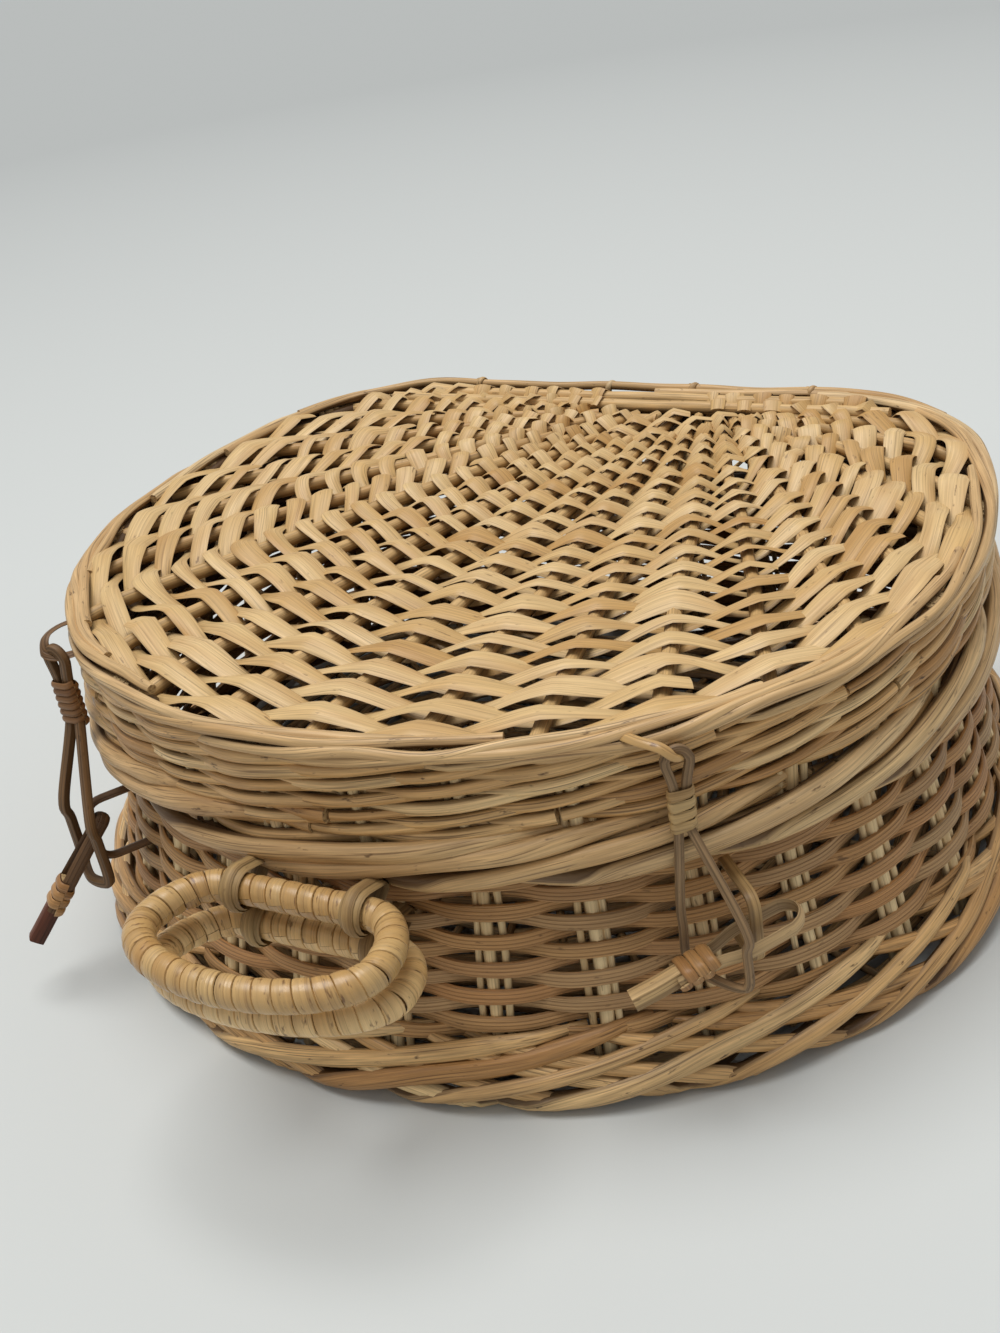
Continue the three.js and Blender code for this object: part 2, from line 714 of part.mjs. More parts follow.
const wrapInside = HANDLE_CORE_RADIUS + WRAP_CLEARANCE;
const handleRadius = (wrapInside + WRAP_THICKNESS) * turnFacet;

// The oval in its own plane, with the straight run along X and the rest towards -Y.
function handlePath() {
  const halfDepth = HANDLE_DEPTH / 2;
  const cornerWidth = HANDLE_HALF_WIDTH - HANDLE_STRAIGHT_HALF;
  const path = new THREE.Path();
  path.moveTo(0, 0);
  path.lineTo(-HANDLE_STRAIGHT_HALF, 0);
  path.absellipse(-HANDLE_STRAIGHT_HALF, -halfDepth, cornerWidth, halfDepth, Math.PI / 2, Math.PI, false);
  path.absellipse(0, -halfDepth, HANDLE_HALF_WIDTH, halfDepth, Math.PI, 2 * Math.PI, false);
  path.absellipse(HANDLE_STRAIGHT_HALF, -halfDepth, cornerWidth, halfDepth, 0, Math.PI / 2, false);
  path.lineTo(0, 0);
  return path;
}

const handleLine = handlePath();
const handleLength = handleLine.getLength();
const UP = new THREE.Vector3(0, 0, 1);

function handleFrame(distance) {
  const share = THREE.MathUtils.clamp(distance / handleLength, 0, 1);
  const point = handleLine.getPointAt(share);
  const tangent = handleLine.getTangentAt(share);
  return {
    middle: new THREE.Vector3(point.x, point.y, 0),
    side: new THREE.Vector3(-tangent.y, tangent.x, 0),
    up: UP,
  };
}

function handleCore() {
  const section = circle(HANDLE_CORE_RADIUS);
  const inscribed = Math.cos(Math.PI / ROUND_SIDES);
  const rows = [];
  for (let step = 0; step < HANDLE_STEPS; step += 1) {
    const frame = handleFrame((handleLength * step) / HANDLE_STEPS);
    rows.push(section.map((corner) => frame.middle.clone()
      .addScaledVector(frame.side, corner.x * inscribed)
      .addScaledVector(frame.up, -corner.y * inscribed)));
  }
  return skin(rows, true);
}

// A cane tie: a band round the handle's bar with a tail to what it is sewn to.
function tie(bar, tailY, tailZ) {
  const tail = new THREE.Vector2(tailY, tailZ);
  const inside = handleRadius + TIE_CLEARANCE;
  const hole = belt(bar, inside, bar.clone().add(new THREE.Vector2(0, SEAT_GAP)), inside);
  return crossBand(belt(bar, inside + TIE_THICKNESS, tail, TIE_TAIL_RADIUS), hole, TIE_WIDTH);
}

const tieInnerEdge = TIE_SPACING / 2 - TIE_WIDTH / 2;
const tailReach = TIE_TAIL_RADIUS + SEAT_GAP;
const handles = [
  {
    name: "upper",
    carrier: "lid",
    bar: new THREE.Vector2(frontY(0, UPPER_HANDLE_OUT), BASE_HEIGHT - UPPER_HANDLE_DROP),
    tilt: UPPER_HANDLE_TILT,
    wallOut: () => APRON_OUT,
  },
  {
    name: "lower",
    carrier: "base",
    bar: new THREE.Vector2(frontY(0, LOWER_HANDLE_OUT), BASE_HEIGHT - LOWER_HANDLE_DROP),
    tilt: LOWER_HANDLE_TILT,
    wallOut: baseWallOut,
  },
];
for (const handle of handles) {
  const group = new THREE.Group();
  group.position.set(0, handle.bar.x, handle.bar.y);
  group.rotation.x = -THREE.MathUtils.degToRad(handle.tilt);
  basket.add(group);
  group.add(add(`${handle.name}_handle_core`, handleCore(), WILLOW));
  const wrap = winding(`${handle.name}_handle_wrap`, handleFrame, handleLength - WRAP_SPACE, WRAP_TURNS,
    roundTurn, wrapInside, wrapInside, WRAP_THICKNESS, WRAP_SPACE);
  group.add(add(`${handle.name}_handle_wrap`, wrap, CANE));

  const tailZ = handle.bar.y + TIE_TAIL_RISE;
  const wallOut = Math.max(handle.wallOut(tailZ - TIE_TAIL_RADIUS), handle.wallOut(tailZ));
  const tailY = frontY(tieInnerEdge, wallOut) - tailReach;
  for (const [side, sign] of [["left", -1], ["right", 1]]) {
    const band = tie(handle.bar, tailY, tailZ).translate((sign * TIE_SPACING) / 2, 0, 0);
    add(`${handle.carrier}_handle_tie_${side}`, band, BROWN_CANE);
  }
}

// Closures

// Plan point and directions of a closure: outward, and to the right as seen from outside.
function closurePlace(mirror, angle, out, height) {
  const point = planPoint(angle, out);
  const normal = direction(angle);
  const outward = new THREE.Vector3(mirror * normal.x, normal.y, 0);
  return {
    point: new THREE.Vector3(mirror * point.x, point.y, height),
    outward,
    right: new THREE.Vector3().crossVectors(UP, outward),
  };
}

// A bent rod with square-on ends, through points joined by short bends.
function bentRod(points, radius, bend) {
  const path = new THREE.CurvePath();
  let from = points[0];
  for (let index = 1; index < points.length - 1; index += 1) {
    const corner = points[index];
    const before = corner.clone().add(points[index - 1].clone().sub(corner).setLength(bend));
    const after = corner.clone().add(points[index + 1].clone().sub(corner).setLength(bend));
    path.add(new THREE.LineCurve3(from, before));
    const turn = new THREE.QuadraticBezierCurve3(before, corner, after);
    let last = before;
    for (const point of turn.getPoints(ROD_BEND_STEPS).slice(1)) {
      path.add(new THREE.LineCurve3(last, point));
      last = point;
    }
    from = after;
  }
  path.add(new THREE.LineCurve3(from, points.at(-1)));
  return sweep(path.curves, radius);
}

// Round section carried along joined straight pieces, mitred where they meet.
function sweep(lines, radius) {
  const nodes = [lines[0].v1, ...lines.map((line) => line.v2)];
  const tangents = nodes.map((_, index) => {
    const into = index > 0 ? nodes[index].clone().sub(nodes[index - 1]).normalize() : new THREE.Vector3();
    const out = index < nodes.length - 1
      ? nodes[index + 1].clone().sub(nodes[index]).normalize() : new THREE.Vector3();
    return into.add(out).normalize();
  });
  const first = Math.abs(tangents[0].z) < UPRIGHT ? UP : new THREE.Vector3(1, 0, 0);
  let side = new THREE.Vector3().crossVectors(first, tangents[0]).normalize();
  const section = circle(radius);
  const rows = nodes.map((node, index) => {
    side = side.clone().addScaledVector(tangents[index], -side.dot(tangents[index])).normalize();
    const up = new THREE.Vector3().crossVectors(tangents[index], side);
    return section.map((corner) => node.clone()
      .addScaledVector(side, corner.x).addScaledVector(up, -corner.y));
  });
  return skin(rows, false);
}

const eyeZ = lidTop - EYE_DROP;
const stapleZ = BASE_HEIGHT - STAPLE_DROP;
const haspTopRadius = EYE_RADIUS + HASP_EYE_CLEARANCE + HASP_RADIUS;

function addEye(closure) {
  const place = closurePlace(closure.mirror, closure.eyeAngle, EYE_OUT, eyeZ);
  const wall = closurePlace(closure.mirror, closure.eyeAngle, lidWallOut(eyeZ) + SEAT_GAP, eyeZ);
  const reach = place.point.distanceTo(wall.point);
  const corners = [[1, 1], [1, 0], [-1, 0], [-1, 1]].map(([across, inward]) => place.point.clone()
    .addScaledVector(place.right, across * EYE_HALF_WIDTH)
    .addScaledVector(place.outward, -inward * reach));
  add(`lid_hasp_eye_${closure.side}`, bentRod(corners, EYE_RADIUS, EYE_BEND), CANE);
  return place;
}

// Frame of a peg: along its length, across it and up, before it droops.
function pegFrame(closure) {
  const angle = closure.eyeAngle + closure.mirror * STAPLE_TURN;
  const place = closurePlace(closure.mirror, angle, STAPLE_OUT, stapleZ);
  const yaw = THREE.MathUtils.degToRad(closure.yaw);
  const along = place.right.clone()
    .multiplyScalar(-Math.cos(yaw))
    .addScaledVector(place.outward, Math.sin(yaw));
  const across = place.outward.clone()
    .multiplyScalar(Math.cos(yaw))
    .addScaledVector(place.right, Math.sin(yaw));
  return { ...place, angle, along, across };
}

function addStaple(closure, frame) {
  const top = stapleZ + STAPLE_HALF_HEIGHT;
  const bottom = stapleZ - STAPLE_HALF_HEIGHT;
  const wallAt = (height) => closurePlace(closure.mirror, frame.angle,
    baseWallOut(height - STAPLE_RADIUS) + SEAT_GAP, height).point;
  const bar = (height) => frame.point.clone().setZ(height);
  const corners = [wallAt(top), bar(top), bar(bottom), wallAt(bottom)];
  add(`base_staple_${closure.side}`, bentRod(corners, STAPLE_RADIUS, STAPLE_BEND), BROWN_CANE);
}

// The hasp is a hairpin over the eye, bound at the neck; its legs pass either side of the peg.
function addHasp(closure, eye, frame) {
  const bottom = eyeZ - HASP_LENGTH;
  const knee = stapleZ + HASP_KNEE_RISE;
  const leg = (distance, sign, height) => frame.point.clone()
    .addScaledVector(frame.along, distance)
    .addScaledVector(frame.across, sign * HASP_SPREAD)
    .setZ(height);
  const strand = (sign, drop, spacing) => eye.point.clone()
    .addScaledVector(eye.outward, sign * spacing)
    .add(new THREE.Vector3(0, 0, -drop));
  const neckBottom = NECK_TOP_DROP + NECK_LENGTH;
  const halfTurn = [];
  for (let step = 0; step <= HALF_TURN_STEPS; step += 1) {
    const angle = (Math.PI * step) / HALF_TURN_STEPS;
    halfTurn.push(strand(Math.cos(angle), -haspTopRadius * Math.sin(angle), haspTopRadius));
  }
  const line = [
    leg(closure.frontLeg, 1, bottom),
    leg(closure.frontLeg, 1, knee),
    strand(1, neckBottom, NECK_HALF_SPACING),
    strand(1, NECK_TOP_DROP, NECK_HALF_SPACING),
    ...halfTurn,
    strand(-1, NECK_TOP_DROP, NECK_HALF_SPACING),
    strand(-1, neckBottom, NECK_HALF_SPACING),
    leg(closure.rearLeg, -1, knee),
    leg(closure.rearLeg, -1, bottom),
  ];
  const pieces = line.slice(1).map((point, index) => new THREE.LineCurve3(line[index], point));
  add(`hasp_${closure.side}`, sweep(pieces, HASP_RADIUS), BROWN_CANE);

  const bindingSide = HASP_RADIUS * BOX_TURN_SCALE + SEAT_GAP;
  const bindingUp = (NECK_HALF_SPACING + HASP_RADIUS) * BOX_TURN_SCALE + SEAT_GAP;
  const neckFrame = (distance) => ({
    middle: strand(0, NECK_TOP_DROP + distance, 0),
    side: eye.right,
    up: eye.outward,
  });
  const name = `hasp_binding_${closure.side}`;
  const binding = winding(name, neckFrame, NECK_LENGTH, HASP_BINDING_TURNS, boxTurn,
    bindingSide, bindingUp, BINDING_THICKNESS, BINDING_SPACE);
  add(name, binding, CANE);
}

const stripBendRadius = STAPLE_RADIUS / Math.cos(Math.PI / ROUND_SIDES) + SEAT_GAP + STRIP_THICKNESS / 2;

// The peg: a strip folded round the staple, a stick between its ends, and a binding round all three.
function addPeg(closure, frame) {
  const group = new THREE.Group();
  group.position.copy(frame.point);
  const basis = new THREE.Matrix4().makeBasis(frame.along, frame.across,
    new THREE.Vector3().crossVectors(frame.along, frame.across));
  const handed = new THREE.Vector3().crossVectors(frame.along, frame.across).z;
  const droop = THREE.MathUtils.degToRad(closure.droop) * handed;
  group.quaternion.setFromRotationMatrix(basis);
  group.rotateY(droop);
  basket.add(group);

  const bendMiddle = stripBendRadius - closure.slip;
  const stripEnd = STRIP_LENGTH - closure.slip;
  const pegStart = stripEnd - PEG_LAP;
  const endHalf = PEG_WIDTH / 2 + SEAT_GAP + STRIP_THICKNESS / 2;
  const side = (offset) => {
    const half = endHalf + offset;
    const radius = stripBendRadius + offset;
    const leg = [[stripEnd, half], [pegStart, half], [STRIP_THROAT, radius]];
    const points = leg.map(([along, across]) => new THREE.Vector2(along, across));
    for (let step = 0; step <= STRIP_BEND_STEPS; step += 1) {
      const angle = Math.PI / 2 + (Math.PI * step) / STRIP_BEND_STEPS;
      points.push(new THREE.Vector2(bendMiddle + radius * Math.cos(angle), radius * Math.sin(angle)));
    }
    return [...points, ...leg.reverse().map(([along, across]) => new THREE.Vector2(along, -across))];
  };
  const outline = [...side(STRIP_THICKNESS / 2), ...side(-STRIP_THICKNESS / 2).reverse()];
  const strip = new THREE.ExtrudeGeometry(new THREE.Shape(outline), {
    depth: STRIP_WIDTH,
    bevelEnabled: false,
  });
  strip.translate(0, 0, -STRIP_WIDTH / 2);
  group.add(add(`toggle_strip_${closure.side}`, strip, BROWN_CANE));

  const peg = new THREE.BoxGeometry(PEG_LENGTH, PEG_WIDTH, PEG_HEIGHT);
  group.add(add(`toggle_peg_${closure.side}`, peg.translate(pegStart + PEG_LENGTH / 2, 0, 0), BARK));

  const lapMiddle = stripEnd - PEG_LAP / 2;
  const bindingFrame = (distance) => ({
    middle: new THREE.Vector3(lapMiddle - PEG_BINDING_LENGTH / 2 + distance, 0, 0),
    side: new THREE.Vector3(0, 1, 0),
    up: UP,
  });
  const halfAcross = (endHalf + STRIP_THICKNESS / 2) * BOX_TURN_SCALE + SEAT_GAP;
  const halfUp = (Math.max(STRIP_WIDTH, PEG_HEIGHT) / 2) * BOX_TURN_SCALE + SEAT_GAP;
  const name = `toggle_binding_${closure.side}`;
  const binding = winding(name, bindingFrame, PEG_BINDING_LENGTH, PEG_BINDING_TURNS, boxTurn,
    halfAcross, halfUp, BINDING_THICKNESS, BINDING_SPACE);
  group.add(add(name, binding, CANE));
}

for (const closure of CLOSURES) {
  const frame = pegFrame(closure);
  const eye = addEye(closure);
  addStaple(closure, frame);
  addHasp(closure, eye, frame);
  addPeg(closure, frame);
}

export default basket;
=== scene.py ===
import math
from types import SimpleNamespace

import bpy
import numpy as np
from mathutils import Matrix

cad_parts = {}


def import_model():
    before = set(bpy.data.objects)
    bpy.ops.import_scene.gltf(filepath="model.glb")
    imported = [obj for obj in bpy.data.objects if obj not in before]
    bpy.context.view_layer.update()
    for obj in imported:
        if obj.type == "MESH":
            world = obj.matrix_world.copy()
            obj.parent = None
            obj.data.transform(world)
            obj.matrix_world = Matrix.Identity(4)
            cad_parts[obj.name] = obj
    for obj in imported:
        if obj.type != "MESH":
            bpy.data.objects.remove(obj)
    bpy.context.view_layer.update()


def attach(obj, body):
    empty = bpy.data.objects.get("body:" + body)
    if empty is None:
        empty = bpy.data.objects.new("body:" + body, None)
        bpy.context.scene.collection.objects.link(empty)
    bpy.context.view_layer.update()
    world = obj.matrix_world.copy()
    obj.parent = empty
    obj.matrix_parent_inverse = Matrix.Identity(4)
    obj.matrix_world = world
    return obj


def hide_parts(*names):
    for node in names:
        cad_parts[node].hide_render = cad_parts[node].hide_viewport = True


# A lidded wicker hamper, woven strand by strand over the frame's solids.
# Lengths are in millimetres until a mesh is made. "out" is measured outward from the plan of the lid's edge,
# and "s" is the distance round that plan, counter-clockwise from the middle of the front.
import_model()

MM = 0.001
UP = np.array([0.0, 0.0, 1.0])

# Plan, as in the solids: arcs that meet tangentially, by the angle of the outward normal
BACK_LENGTH = 204.0
BACK_DISTANCE = 163.0
CORNER_RADIUS = 93.0
SIDE_RADIUS = 283.0
SHOULDER_RADIUS = 184.0
CORNER_END = 22.0
SHOULDER_END = -55.0

# Heights and outer faces of the two walls
FOOT_HEIGHT = 26.0
RIM_BOTTOM = 94.0
BASE_TOP = 104.0
LID_WALL_TOP = 153.0
BASE_OUT_AT_FOOT = 5.0
BASE_TAPER = 18.0
LID_OUT_AT_BOTTOM = -4.0
LID_FLARE = 2.5

# Rim of the base, and the hinge rod behind it
RIM_MIDDLE = 99.0
RIM_OUT = -13.0
RIM_BACK_Y = 150.0
HINGE_Y = 162.0
HINGE_HALF = 101.5
HINGE_RADIUS = 4.9

# Stakes stand in groups, each stake with its place in the group and its radius
STAKE_GROUPS = 30
STAKE_GROUP = ((-5.0, 1.5), (0.0, 2.8), (5.1, 1.65))


def unit(vectors):
    return vectors / np.linalg.norm(vectors, axis=-1, keepdims=True)


def heading(degrees):
    angle = np.radians(degrees)
    return np.stack([np.cos(angle), np.sin(angle)], axis=-1)


def lengths(points):
    """Distance of each point from the start of a line, along the line."""
    steps = np.linalg.norm(np.diff(points, axis=0), axis=1)
    return np.concatenate([[0.0], np.cumsum(steps)])


def plan_arcs():
    """Arcs of the right half: centre, radius, first and last angle."""
    corner = np.array([BACK_LENGTH / 2, BACK_DISTANCE - CORNER_RADIUS])
    side = corner + heading(CORNER_END) * (CORNER_RADIUS - SIDE_RADIUS)
    shoulder = side + heading(0.0) * (SIDE_RADIUS - SHOULDER_RADIUS)
    front_radius = SHOULDER_RADIUS + shoulder[0] / heading(SHOULDER_END)[0]
    front = shoulder + heading(SHOULDER_END) * (SHOULDER_RADIUS - front_radius)
    return [
        (front, front_radius, -90.0, SHOULDER_END),
        (shoulder, SHOULDER_RADIUS, SHOULDER_END, 0.0),
        (side, SIDE_RADIUS, 0.0, CORNER_END),
        (corner, CORNER_RADIUS, CORNER_END, 90.0),
    ]


ARCS = plan_arcs()


def plan_loop():
    """Points and normals about every millimetre round the plan, with their distances."""
    points = []
    normals = []
    for centre, radius, first, last in ARCS:
        count = int(radius * math.radians(last - first))
        normal = heading(np.linspace(first, last, count, endpoint=False))
        points.append(centre + normal * radius)
        normals.append(normal)
    right = np.vstack(points)
    right_normals = np.vstack(normals)
    back_x = np.linspace(BACK_LENGTH / 2, -BACK_LENGTH / 2, int(BACK_LENGTH))
    back = np.stack([back_x, np.full(len(back_x), BACK_DISTANCE)], axis=-1)
    back_normals = np.tile([0.0, 1.0], (len(back_x), 1))
    mirror = np.array([-1.0, 1.0])
    loop = np.vstack([right, back, right[:0:-1] * mirror, right[:1]])
    left_normals = right_normals[:0:-1] * mirror
    loop_normals = np.vstack([right_normals, back_normals, left_normals, right_normals[:1]])
    return loop, loop_normals, lengths(loop)


LOOP, LOOP_NORMALS, LOOP_S = plan_loop()
LENGTH = LOOP_S[-1]
BACK_START = LENGTH / 2 - BACK_LENGTH / 2
BACK_END = BACK_START + BACK_LENGTH
GROUP_SPACING = LENGTH / STAKE_GROUPS


def outward(s):
    s = np.asarray(s, float) % LENGTH
    x = np.interp(s, LOOP_S, LOOP_NORMALS[:, 0])
    y = np.interp(s, LOOP_S, LOOP_NORMALS[:, 1])
    return unit(np.stack([x, y, np.zeros_like(x)], axis=-1))


def wall(s, out, z):
    """Points at distance s round the plan, offset outward and raised."""
    s = np.asarray(s, float)
    normal = outward(s)
    x = np.interp(s % LENGTH, LOOP_S, LOOP[:, 0]) + normal[..., 0] * out
    y = np.interp(s % LENGTH, LOOP_S, LOOP[:, 1]) + normal[..., 1] * out
    return np.stack([x, y, np.broadcast_to(z, x.shape)], axis=-1)


def base_out(z):
    """Outer face of the base wall."""
    return BASE_OUT_AT_FOOT - BASE_TAPER * (z - FOOT_HEIGHT) / (RIM_BOTTOM - FOOT_HEIGHT)


def lid_out(z):
    """Outer face of the lid wall."""
    return LID_OUT_AT_BOTTOM + LID_FLARE * (z - BASE_TOP) / (LID_WALL_TOP - BASE_TOP)


# Sections of strands, counter-clockwise, as shares of half width and half thickness
def circle(angle, squareness=1.0):
    """Points of a unit circle by their angle in radians, nearer a square where squareness is below one."""
    points = np.stack([np.cos(angle), np.sin(angle)], axis=-1)
    return np.sign(points) * np.abs(points) ** squareness


def oval(sides, squareness=1.0):
    return circle(2 * np.pi * np.arange(sides) / sides, squareness)


ROUND = oval(8)
SMOOTH_ROUND = oval(14)
FLAT = oval(10, 0.55)
SQUARE = oval(12, 0.3)
SPLIT = np.array([
    (1.0, -0.35), (0.72, 0.4), (0.28, 0.9), (-0.28, 0.9),
    (-0.72, 0.4), (-1.0, -0.35), (-0.6, -0.8), (0.6, -0.8),
])
BAND = np.array([(1.0, -0.5), (0.92, 0.5), (0.4, 0.95), (-0.4, 0.95), (-0.92, 0.5), (-1.0, -0.5)])


# Lines that strands follow
BEND_POINTS = 7
BELT_STEPS = 12


def between(a, b, c, d, t):
    """Points from b to c on the smooth line through four points."""
    cubic = (3 * b - a - 3 * c + d) * t ** 3
    return 0.5 * (2 * b + (c - a) * t + (2 * a - 5 * b + 4 * c - d) * t ** 2 + cubic)


def curve(points, step):
    """A smooth line through points, sampled about every step."""
    points = np.asarray(points, float)
    padded = np.vstack([2 * points[0] - points[1], points, 2 * points[-1] - points[-2]])
    runs = []
    for a, b, c, d in zip(padded, padded[1:], padded[2:], padded[3:]):
        count = max(2, math.ceil(np.linalg.norm(c - b) / step))
        t = np.linspace(0.0, 1.0, count, endpoint=False)[:, None]
        runs.append(between(a, b, c, d, t))
    return np.vstack(runs + [points[-1:]])


def bent(points, bend):
    """Straight runs joined by short bends."""
    points = [np.asarray(point, float) for point in points]
    line = [points[0]]
    for before, corner, after in zip(points, points[1:], points[2:]):
        start = corner + unit(before - corner) * bend
        end = corner + unit(after - corner) * bend
        for t in np.linspace(0.0, 1.0, BEND_POINTS):
            line.append((1 - t) ** 2 * start + 2 * t * (1 - t) * corner + t ** 2 * end)
    return np.array(line + [points[-1]])


def belt(first, first_radius, second, second_radius):
    """A line pulled round two circles in the plane of Y and Z, with its outward directions."""
    line = np.subtract(second, first)
    lean = math.acos((first_radius - second_radius) / np.linalg.norm(line))
    facing = math.atan2(line[1], line[0])
    near = circle(facing + lean + np.linspace(0.0, 2 * np.pi - 2 * lean, BELT_STEPS))
    far = circle(facing - lean + np.linspace(0.0, 2 * lean, BELT_STEPS))
    points = np.vstack([np.add(first, first_radius * near), np.add(second, second_radius * far)])
    return points, np.vstack([near, far])


def crosswise(x, flat):
    """Points or directions of the plane of Y and Z, given their X."""
    return np.column_stack([np.full(len(flat), x), flat])


# Pieces
GRAIN_SHIFT = 4000.0
WANDER_WAVES = 3
WANDER_GAIN = 1.4


def add_object(name, data):
    obj = bpy.data.objects.new(name, data)
    bpy.context.scene.collection.objects.link(obj)
    return obj


class Weave:
    """Strands of one piece, joined into one mesh with the grain's coordinates on its points."""

    def __init__(self, seed):
        self.random = np.random.default_rng(seed)
        self.points = []
        self.grain = []
        self.tint = []
        self.quads = []
        self.ends = []
        self.total = 0

    def wander(self, s, wavelength):
        """A slow random swing of about one either way."""
        waves = self.random.uniform(0.6, 1.6, WANDER_WAVES) * wavelength
        phases = self.random.uniform(0.0, 2 * np.pi, WANDER_WAVES)
        return np.sin(2 * np.pi * np.asarray(s)[:, None] / waves + phases).mean(axis=1) * WANDER_GAIN

    def strand(self, path, facing, half_width, half_thick, section=ROUND):
        count = len(path)
        sides = len(section)
        tangent = unit(np.gradient(path, axis=0))
        side = unit(np.cross(facing, tangent))
        rise = np.cross(tangent, side)
        across = np.broadcast_to(half_width, count)[:, None] * section[:, 0]
        depth = np.broadcast_to(half_thick, count)[:, None] * section[:, 1]
        points = path[:, None] + side[:, None] * across[..., None] + rise[:, None] * depth[..., None]
        along = lengths(path) + self.random.uniform(0.0, GRAIN_SHIFT)
        grain = np.stack([np.broadcast_to(along[:, None], across.shape), across, depth], axis=-1)
        ring = np.arange(count * sides).reshape(count, sides) + self.total
        after = np.roll(ring, -1, axis=1)
        quads = np.stack([ring[:-1], after[:-1], after[1:], ring[1:]], axis=-1)
        self.points.append(points.reshape(-1, 3))
        self.grain.append(grain.reshape(-1, 3))
        self.tint.append(np.full(count * sides, self.random.random()))
        self.quads += quads.reshape(-1, 4).tolist()
        self.ends += [ring[0, ::-1].tolist(), ring[-1].tolist()]
        self.total += count * sides

    def piece(self, name, body, slot, material, *nodes):
        mesh = bpy.data.meshes.new(name)
        mesh.from_pydata((np.vstack(self.points) * MM).tolist(), [], self.quads + self.ends)
        mesh.materials.append(material)
        mesh.materials.append(CUT_END)
        index = np.zeros(len(mesh.polygons), dtype=np.int32)
        index[len(self.quads):] = 1
        mesh.polygons.foreach_set("material_index", index)
        mesh.polygons.foreach_set("use_smooth", np.ones(len(index), dtype=bool))
        mesh.set_sharp_from_angle(angle=math.radians(48.0))
        grain = mesh.attributes.new("grain", "FLOAT_VECTOR", "POINT")
        grain.data.foreach_set("vector", np.vstack(self.grain).ravel())
        tint = mesh.attributes.new("tint", "FLOAT", "POINT")
        tint.data.foreach_set("value", np.concatenate(self.tint))
        mesh.update()
        obj = add_object(name, mesh)
        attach(obj, body)
        if nodes:
            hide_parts(*nodes)


# Materials
NOISE_LOW = 0.3
NOISE_HIGH = 0.7
FIBRE_BUMP = 0.0006
PITH_BUMP = 0.0005


def colour(red, green, blue):
    """A display colour from 0 to 255 as scene-linear RGBA."""
    shares = [value / 255 for value in (red, green, blue)]
    return tuple(c / 12.92 if c <= 0.04045 else ((c + 0.055) / 1.055) ** 2.4 for c in shares) + (1.0,)


class Shader:
    """Node helpers of one material."""

    def __init__(self, name):
        self.material = bpy.data.materials.new(name)
        self.material.use_nodes = True
        self.tree = self.material.node_tree
        self.surface = self.tree.nodes["Principled BSDF"]

    def node(self, kind, inputs, **settings):
        node = self.tree.nodes.new(kind)
        for key, value in settings.items():
            setattr(node, key, value)
        for socket, value in inputs.items():
            self.feed(node.inputs[socket], value)
        return node

    def feed(self, socket, value):
        """Link a node's output to a socket, or set the socket's own value."""
        if isinstance(value, bpy.types.NodeSocket):
            self.tree.links.new(value, socket)
        else:
            socket.default_value = value

    def give(self, **values):
        """Feed the surface's inputs, named with _ for each space."""
        for name, value in values.items():
            self.feed(self.surface.inputs[name.replace("_", " ")], value)

    def attribute(self, name, output):
        return self.node("ShaderNodeAttribute", {}, attribute_name=name).outputs[output]

    def noise(self, vector, stretch, detail=2.0, roughness=0.5):
        scaled = self.node("ShaderNodeVectorMath", {0: vector, 1: stretch}, operation="MULTIPLY")
        inputs = {"Vector": scaled.outputs[0], "Scale": 1.0, "Detail": detail, "Roughness": roughness}
        return self.node("ShaderNodeTexNoise", inputs).outputs["Fac"]

    def remap(self, value, low, high, to_low, to_high):
        inputs = {"Value": value, "From Min": low, "From Max": high, "To Min": to_low, "To Max": to_high}
        return self.node("ShaderNodeMapRange", inputs).outputs[0]

    def maths(self, operation, first, second):
        return self.node("ShaderNodeMath", {0: first, 1: second}, operation=operation).outputs[0]

    def ramp(self, value, stops):
        node = self.node("ShaderNodeValToRGB", {"Fac": value})
        elements = node.color_ramp.elements
        while len(elements) < len(stops):
            elements.new(0.5)
        for element, (place, shade) in zip(elements, stops):
            element.position = place
            element.color = shade
        return node.outputs["Color"]

    def mix(self, share, first, second, blend="MIX"):
        inputs = {0: share, 6: first, 7: second}
        return self.node("ShaderNodeMix", inputs, data_type="RGBA", blend_type=blend).outputs[2]

    def bump(self, height, strength, distance):
        inputs = {"Height": height, "Strength": strength, "Distance": distance}
        return self.node("ShaderNodeBump", inputs).outputs[0]


